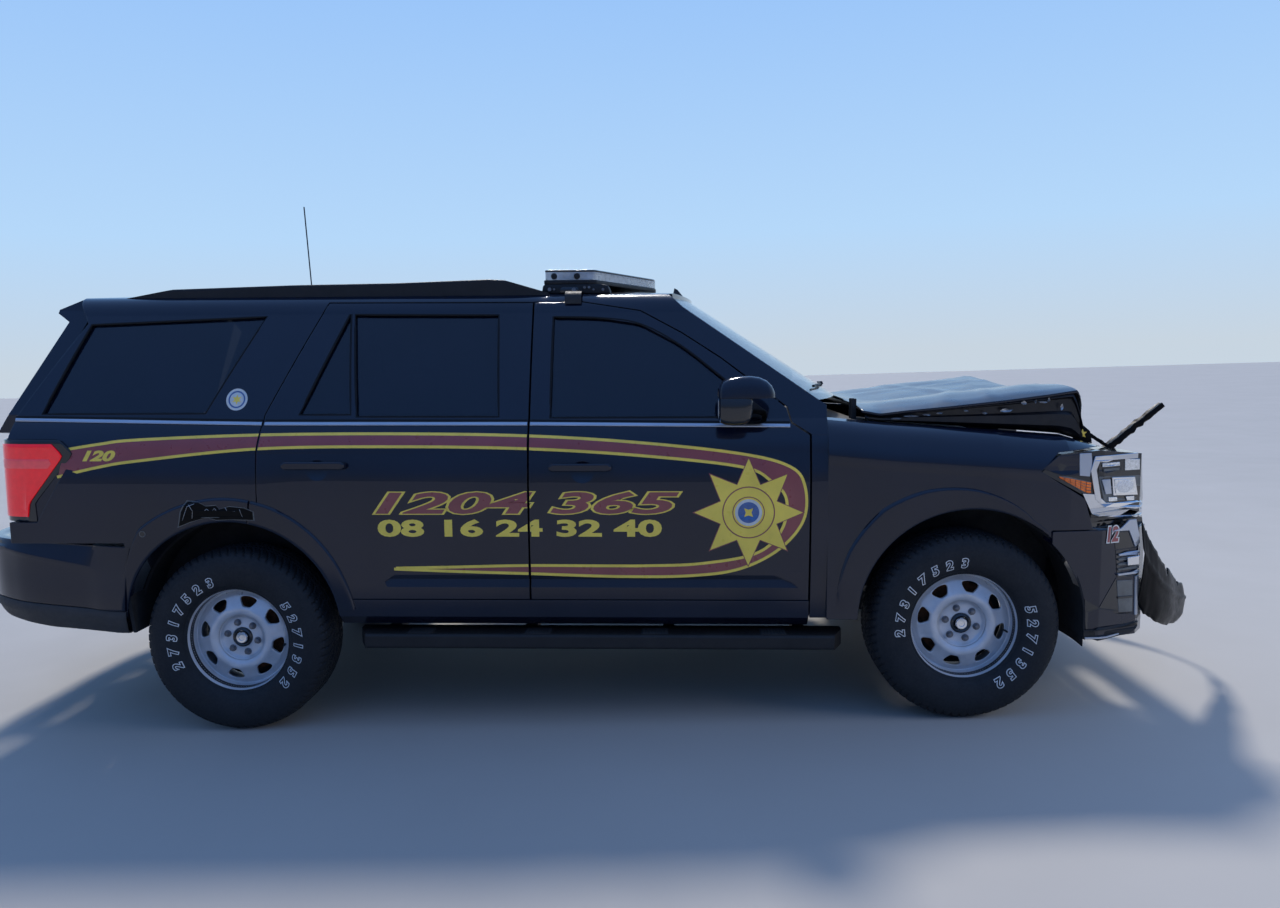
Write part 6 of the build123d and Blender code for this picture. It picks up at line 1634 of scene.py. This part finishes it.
# ------------------------------------------------------------------ seats
def pad(name, c, size, tilt=0.0, crown=(0, 0, 1), mat="fabric", body=BODY, n=14, p=5.0, lift=14.0, channels=()):
    """A crowned, closed cushion: centre, full size, tilt about Y in degrees, crowned towards the given side."""
    bm = bmesh.new()
    bmesh.ops.create_cube(bm, size=2.0)
    bmesh.ops.subdivide_edges(bm, edges=bm.edges[:], cuts=n, use_grid_fill=True)
    hx, hy, hz = (v / 2 for v in size)
    rt = Matrix.Rotation(math.radians(tilt), 3, "Y")
    up = Vector(crown)
    for v in bm.verts:
        u = v.co.copy()
        k = (abs(u.x) ** p + abs(u.y) ** p + abs(u.z) ** p) ** (1 / p)
        q = u / k
        pull = Vector((1 - 0.035 * (1 - abs(u.y)) * (1 - abs(u.z)), 1 - 0.035 * (1 - abs(u.x)) * (1 - abs(u.z)), 1.0))
        w = Vector((q.x * hx * pull.x, q.y * hy * pull.y, q.z * hz))
        side_k = max(0.0, q.dot(up))
        along = [a for a in (0, 1, 2) if not up[a]]
        dome = 1.0
        for a in along:
            dome *= max(0.0, 1 - u[a] ** 2)
        w += up * (lift * dome * side_k)
        for ch in channels:
            w -= up * (7.0 * math.exp(-((w.y - ch) / 7.0) ** 2) * side_k)
        v.co = lv(*(Vector(c) + rt @ w))
    bmesh.ops.recalc_face_normals(bm, faces=bm.faces[:])
    ob = from_bm(name, bm, mat, body, smooth=True)
    return ob


for nm, sx, ys, w in (("front", 60, (-400, 400), 520), ("rear", -820, (-400, 0, 400), 392)):
    for i, y in enumerate(ys):
        key = f"{nm}_{'abc'[i]}"
        chs = (y * 0 - w * 0.30, w * 0.30)
        base = pad(f"seat_cushion_{key}", (sx + 15, y, 872), (526, w - 8, 148), crown=(0, 0, 1), channels=chs)
        if i == 0:
            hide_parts(f"{nm}_seats")
        pad(f"seat_back_{key}", (sx - 236, y, 1180), (128, w - 26, 620), tilt=-9.0, crown=(1, 0, 0), channels=chs)
        pad(f"seat_headrest_{key}", (sx - 308, y, 1570), (76, 250, 170), tilt=-6.0, crown=(1, 0, 0), lift=8, p=4.0)
        for dy in (-60, 60):
            tube(f"headrest_post_{key}_{'l' if dy < 0 else 'r'}", [lv(sx - 286, y + dy, 1440), lv(sx - 300, y + dy, 1530)], 0.0055, "chrome", BODY, n=10)
        slab(f"seat_frame_{key}", [(sx - 200, 612), (sx + 200, 612), (sx + 214, 800), (sx - 214, 800)], y - w / 2 + 26, y + w / 2 - 26, "inner", BODY, bevel=8)
        if nm == "front":
            slab(f"seat_side_cover_{key}", [(sx - 256, 800), (sx + 236, 800), (sx + 246, 846), (sx - 200, 866), (sx - 262, 880)], y - w / 2 - 6, y - w / 2 + 8, "inner", BODY, bevel=4)

# ------------------------------------------------------------------ liftgate details
LG = "rear_liftgate"


def gate_x(z):
    return lerp([(812, -2650), (1235, -2640), (1340, -2572), (1745, -2368)], z)


slab_x("plate_blank", rect(-153, 153, 910, 1062, 10), -2636.5, -2632.2, "pale", LG, bevel=1.0)
slab_x("plate_frame_top", rect(-162, 162, 1064, 1074, 3), -2642, -2632.2, "black", LG, bevel=1.5)
slab_x("plate_frame_bottom", rect(-162, 162, 898, 908, 3), -2642, -2632.2, "black", LG, bevel=1.5)
slab_x("liftgate_strip", rect(-560, 560, 1106, 1140, 12), -2656, -2640, "lamp_black", LG, bevel=3)
slab_x("liftgate_strip_bright", rect(-556, 556, 1140, 1147, 3), -2657, -2640, "satin", LG, bevel=1.5)
slab_x("liftgate_handle_lip", rect(-150, 150, 1084, 1104, 8), -2660, -2636, "black", LG, bevel=4)
for s in (-1, 1):
    slab_x(f"plate_lamp_{SIDE_NAME[s]}", rect(s * 190 - 24, s * 190 + 24, 1092, 1102, 3), -2650, -2640, "lens_white", LG, bevel=1.0)
tube("rear_wiper_arm", [lv(-2588, 0, 1336), lv(-2580, 12, 1352), lv(-2560, 90, 1392), lv(-2536, 190, 1440)], 0.006, "black", LG, n=10)
tube("rear_wiper_blade", [lv(-2560 - 1, 20, 1388), lv(-2536, 190, 1440), lv(-2518, 360, 1476)], 0.005, "rubber", LG, n=10)
bm = bmesh.new()
mt = Matrix.Translation((-2585, 0, 1334)) @ Matrix.Rotation(math.pi / 2, 4, "Y")
bmesh.ops.create_cone(bm, cap_ends=True, segments=28, radius1=22, radius2=18, depth=16, matrix=mt)
for v in bm.verts:
    v.co = lv(*v.co)
from_bm("rear_wiper_pivot", bm, "black", LG)
slab_x("third_brake_lamp", rect(-170, 170, 1785, 1797, 3), -2427, -2418, "red", LG, bevel=1.5)

# ------------------------------------------------------------------ damage on the right rear arch flare
def flare_surf(x, z):
    (cx, cz, r0), widths = FLARE["rear"][0], FLARE["rear"][1]
    a = math.degrees(math.atan2(z - cz, x - cx))
    w = lerp(widths, a)
    t = (math.hypot(x - cx, z - cz) - r0) / w
    o = lerp([(t_, o_) for t_, o_ in FLARE_T if o_ > 0.5], t) if 0 <= t <= 1 else 0.0
    return half(x, z) + o * min(1.0, w / 60.0)


TEAR = [(-1772, 868), (-1755, 939), (-1728, 986), (-1674, 981), (-1644, 964), (-1599, 967), (-1587, 950), (-1542, 962), (-1478, 955), (-1440, 938), (-1440, 899), (-1534, 902), (-1604, 899), (-1638, 911), (-1673, 904), (-1719, 890)]
shell("flare_tear_edge_right", spread(TEAR, 12.0), "grey", BODY, side=-1, off=0.4, thick=1.0, bevel=0.0, surf=flare_surf, zstep=6.0)
TEAR_IN = [(x + (-1600 - x) * 0.035, z + (930 - z) * 0.10) for x, z in TEAR]
shell("flare_tear_right", spread(TEAR_IN, 12.0), "torn", BODY, side=-1, off=2.0, thick=1.0, bevel=0.0, surf=flare_surf, zstep=6.0)
CRACKS = ([(-1748, 900), (-1722, 960), (-1690, 972)], [(-1715, 968), (-1700, 940), (-1706, 908)], [(-1668, 925), (-1640, 950), (-1622, 935), (-1606, 953), (-1590, 930)],
          [(-1560, 955), (-1548, 930), (-1520, 940)], [(-1500, 948), (-1490, 915)])
for i, c in enumerate(CRACKS):
    dense = []
    for a, b_ in zip(c[:-1], c[1:]):
        dense += [(a[0] + (b_[0] - a[0]) * k / 5, a[1] + (b_[1] - a[1]) * k / 5) for k in range(5)]
    dense.append(c[-1])
    tube(f"flare_crack_{i}_right", [lv(x, -(flare_surf(x, z) + 2.2), z) for x, z in dense], 0.0013, "bare", BODY, n=6)
H0 = (-1923, 842)
# the hole is a black disc on the flare, its dark inside painted shade; no opening is cut
on_side("flare_hole_painted_shade_right", [disc(H0, 11, 24)], "lamp_black", BODY, side=-1, off=1.2, surf=flare_surf)
on_side("flare_hole_rim_right", ring(H0, 11, 13.5, 24), "grey", BODY, side=-1, off=1.4, surf=flare_surf)

# ------------------------------------------------------------------ stage, light, camera
fm = bpy.data.meshes.new("floor")
fm.from_pydata([(-60, -60, 0), (60, -60, 0), (60, 60, 0), (-60, 60, 0)], [], [(0, 1, 2, 3)])
floor = bpy.data.objects.new("floor", fm)
bpy.context.collection.objects.link(floor)
fm.materials.append(material("pale_floor", (0.40, 0.375, 0.34), rough=0.8, vary=0.03, vscale=0.6, bump=0.05, bscale=40))

world = bpy.data.worlds.new("studio")
bpy.context.scene.world = world
world.use_nodes = True
wn = world.node_tree
bg = wn.nodes["Background"]
tc = wn.nodes.new("ShaderNodeTexCoord")
sep = wn.nodes.new("ShaderNodeSeparateXYZ")
wn.links.new(tc.outputs["Generated"], sep.inputs["Vector"])
# clear sky: deep blue behind the viewer, pale low down beyond the object
def sky_ramp(stops):
    r_ = wn.nodes.new("ShaderNodeValToRGB")
    e = r_.color_ramp.elements
    e[0].position, e[0].color = stops[0][0], stops[0][1] + (1,)
    e[1].position, e[1].color = stops[-1][0], stops[-1][1] + (1,)
    for p_, c_ in stops[1:-1]:
        k = e.new(p_)
        k.color = c_ + (1,)
    wn.links.new(sep.outputs["Z"], r_.inputs["Fac"])
    return r_


near = sky_ramp([(0.0, (0.16, 0.20, 0.28)), (0.06, (0.10, 0.19, 0.42)), (0.45, (0.12, 0.27, 0.66)), (1.0, (0.16, 0.32, 0.72))])
far = sky_ramp([(0.0, (0.52, 0.60, 0.68)), (0.12, (0.42, 0.62, 0.86)), (0.5, (0.20, 0.42, 0.85)), (1.0, (0.16, 0.32, 0.72))])
mr = wn.nodes.new("ShaderNodeMapRange")
mr.inputs["From Min"].default_value = -0.35
mr.inputs["From Max"].default_value = 0.45
wn.links.new(sep.outputs["Y"], mr.inputs["Value"])
mx = wn.nodes.new("ShaderNodeMixRGB")
wn.links.new(mr.outputs["Result"], mx.inputs["Fac"])
wn.links.new(near.outputs["Color"], mx.inputs["Color1"])
wn.links.new(far.outputs["Color"], mx.inputs["Color2"])
wn.links.new(mx.outputs["Color"], bg.inputs["Color"])
bg.inputs["Strength"].default_value = 0.9


def area(name, loc, target, size, power, color=(1, 1, 1)):
    l = bpy.data.lights.new(name, "AREA")
    l.shape = "RECTANGLE"
    l.size, l.size_y = size
    l.energy = power
    l.color = color
    o = bpy.data.objects.new(name, l)
    bpy.context.collection.objects.link(o)
    o.location = loc
    o.rotation_euler = (Vector(target) - Vector(loc)).to_track_quat("-Z", "Y").to_euler()
    return o


sun = bpy.data.lights.new("soft_sun", "SUN")
sun.energy = 2.4
sun.angle = math.radians(9)
sun.color = (1.0, 0.95, 0.88)
sun_o = bpy.data.objects.new("soft_sun", sun)
bpy.context.collection.objects.link(sun_o)
sun_o.rotation_euler = Vector((0.10, -0.66, -0.80)).to_track_quat("-Z", "Y").to_euler()
fill = area("fill_front", (9.0, -3.0, 3.4), (1.8, 0, 0.8), (4, 3), 160, (1.0, 0.98, 0.95))
fill.visible_glossy = False

cam_data = bpy.data.cameras.new("camera")
cam_data.sensor_width = 36.0
cam_data.lens = 36.0 * 971.7 / 1280.0
cam = bpy.data.objects.new("camera", cam_data)
bpy.context.collection.objects.link(cam)
yaw, pitch, roll = math.radians(-2.083), math.radians(5.721), math.radians(-1.699)
f = Vector((math.sin(yaw), math.cos(yaw), 0))
r = Vector((math.cos(yaw), -math.sin(yaw), 0))
u = Vector((0, 0, 1))
f2 = f * math.cos(pitch) - u * math.sin(pitch)
u2 = u * math.cos(pitch) + f * math.sin(pitch)
r3 = r * math.cos(roll) + u2 * math.sin(roll)
u3 = -r * math.sin(roll) + u2 * math.cos(roll)
cam.matrix_world = Matrix(((r3.x, u3.x, -f2.x, 0.3576), (r3.y, u3.y, -f2.y, -5.0022), (r3.z, u3.z, -f2.z, 1.5718), (0, 0, 0, 1)))
cam_data.clip_start, cam_data.clip_end = 0.05, 300
bpy.context.scene.camera = cam
bpy.context.scene.view_settings.view_transform = "Standard"
bpy.context.scene.view_settings.exposure = 0.3
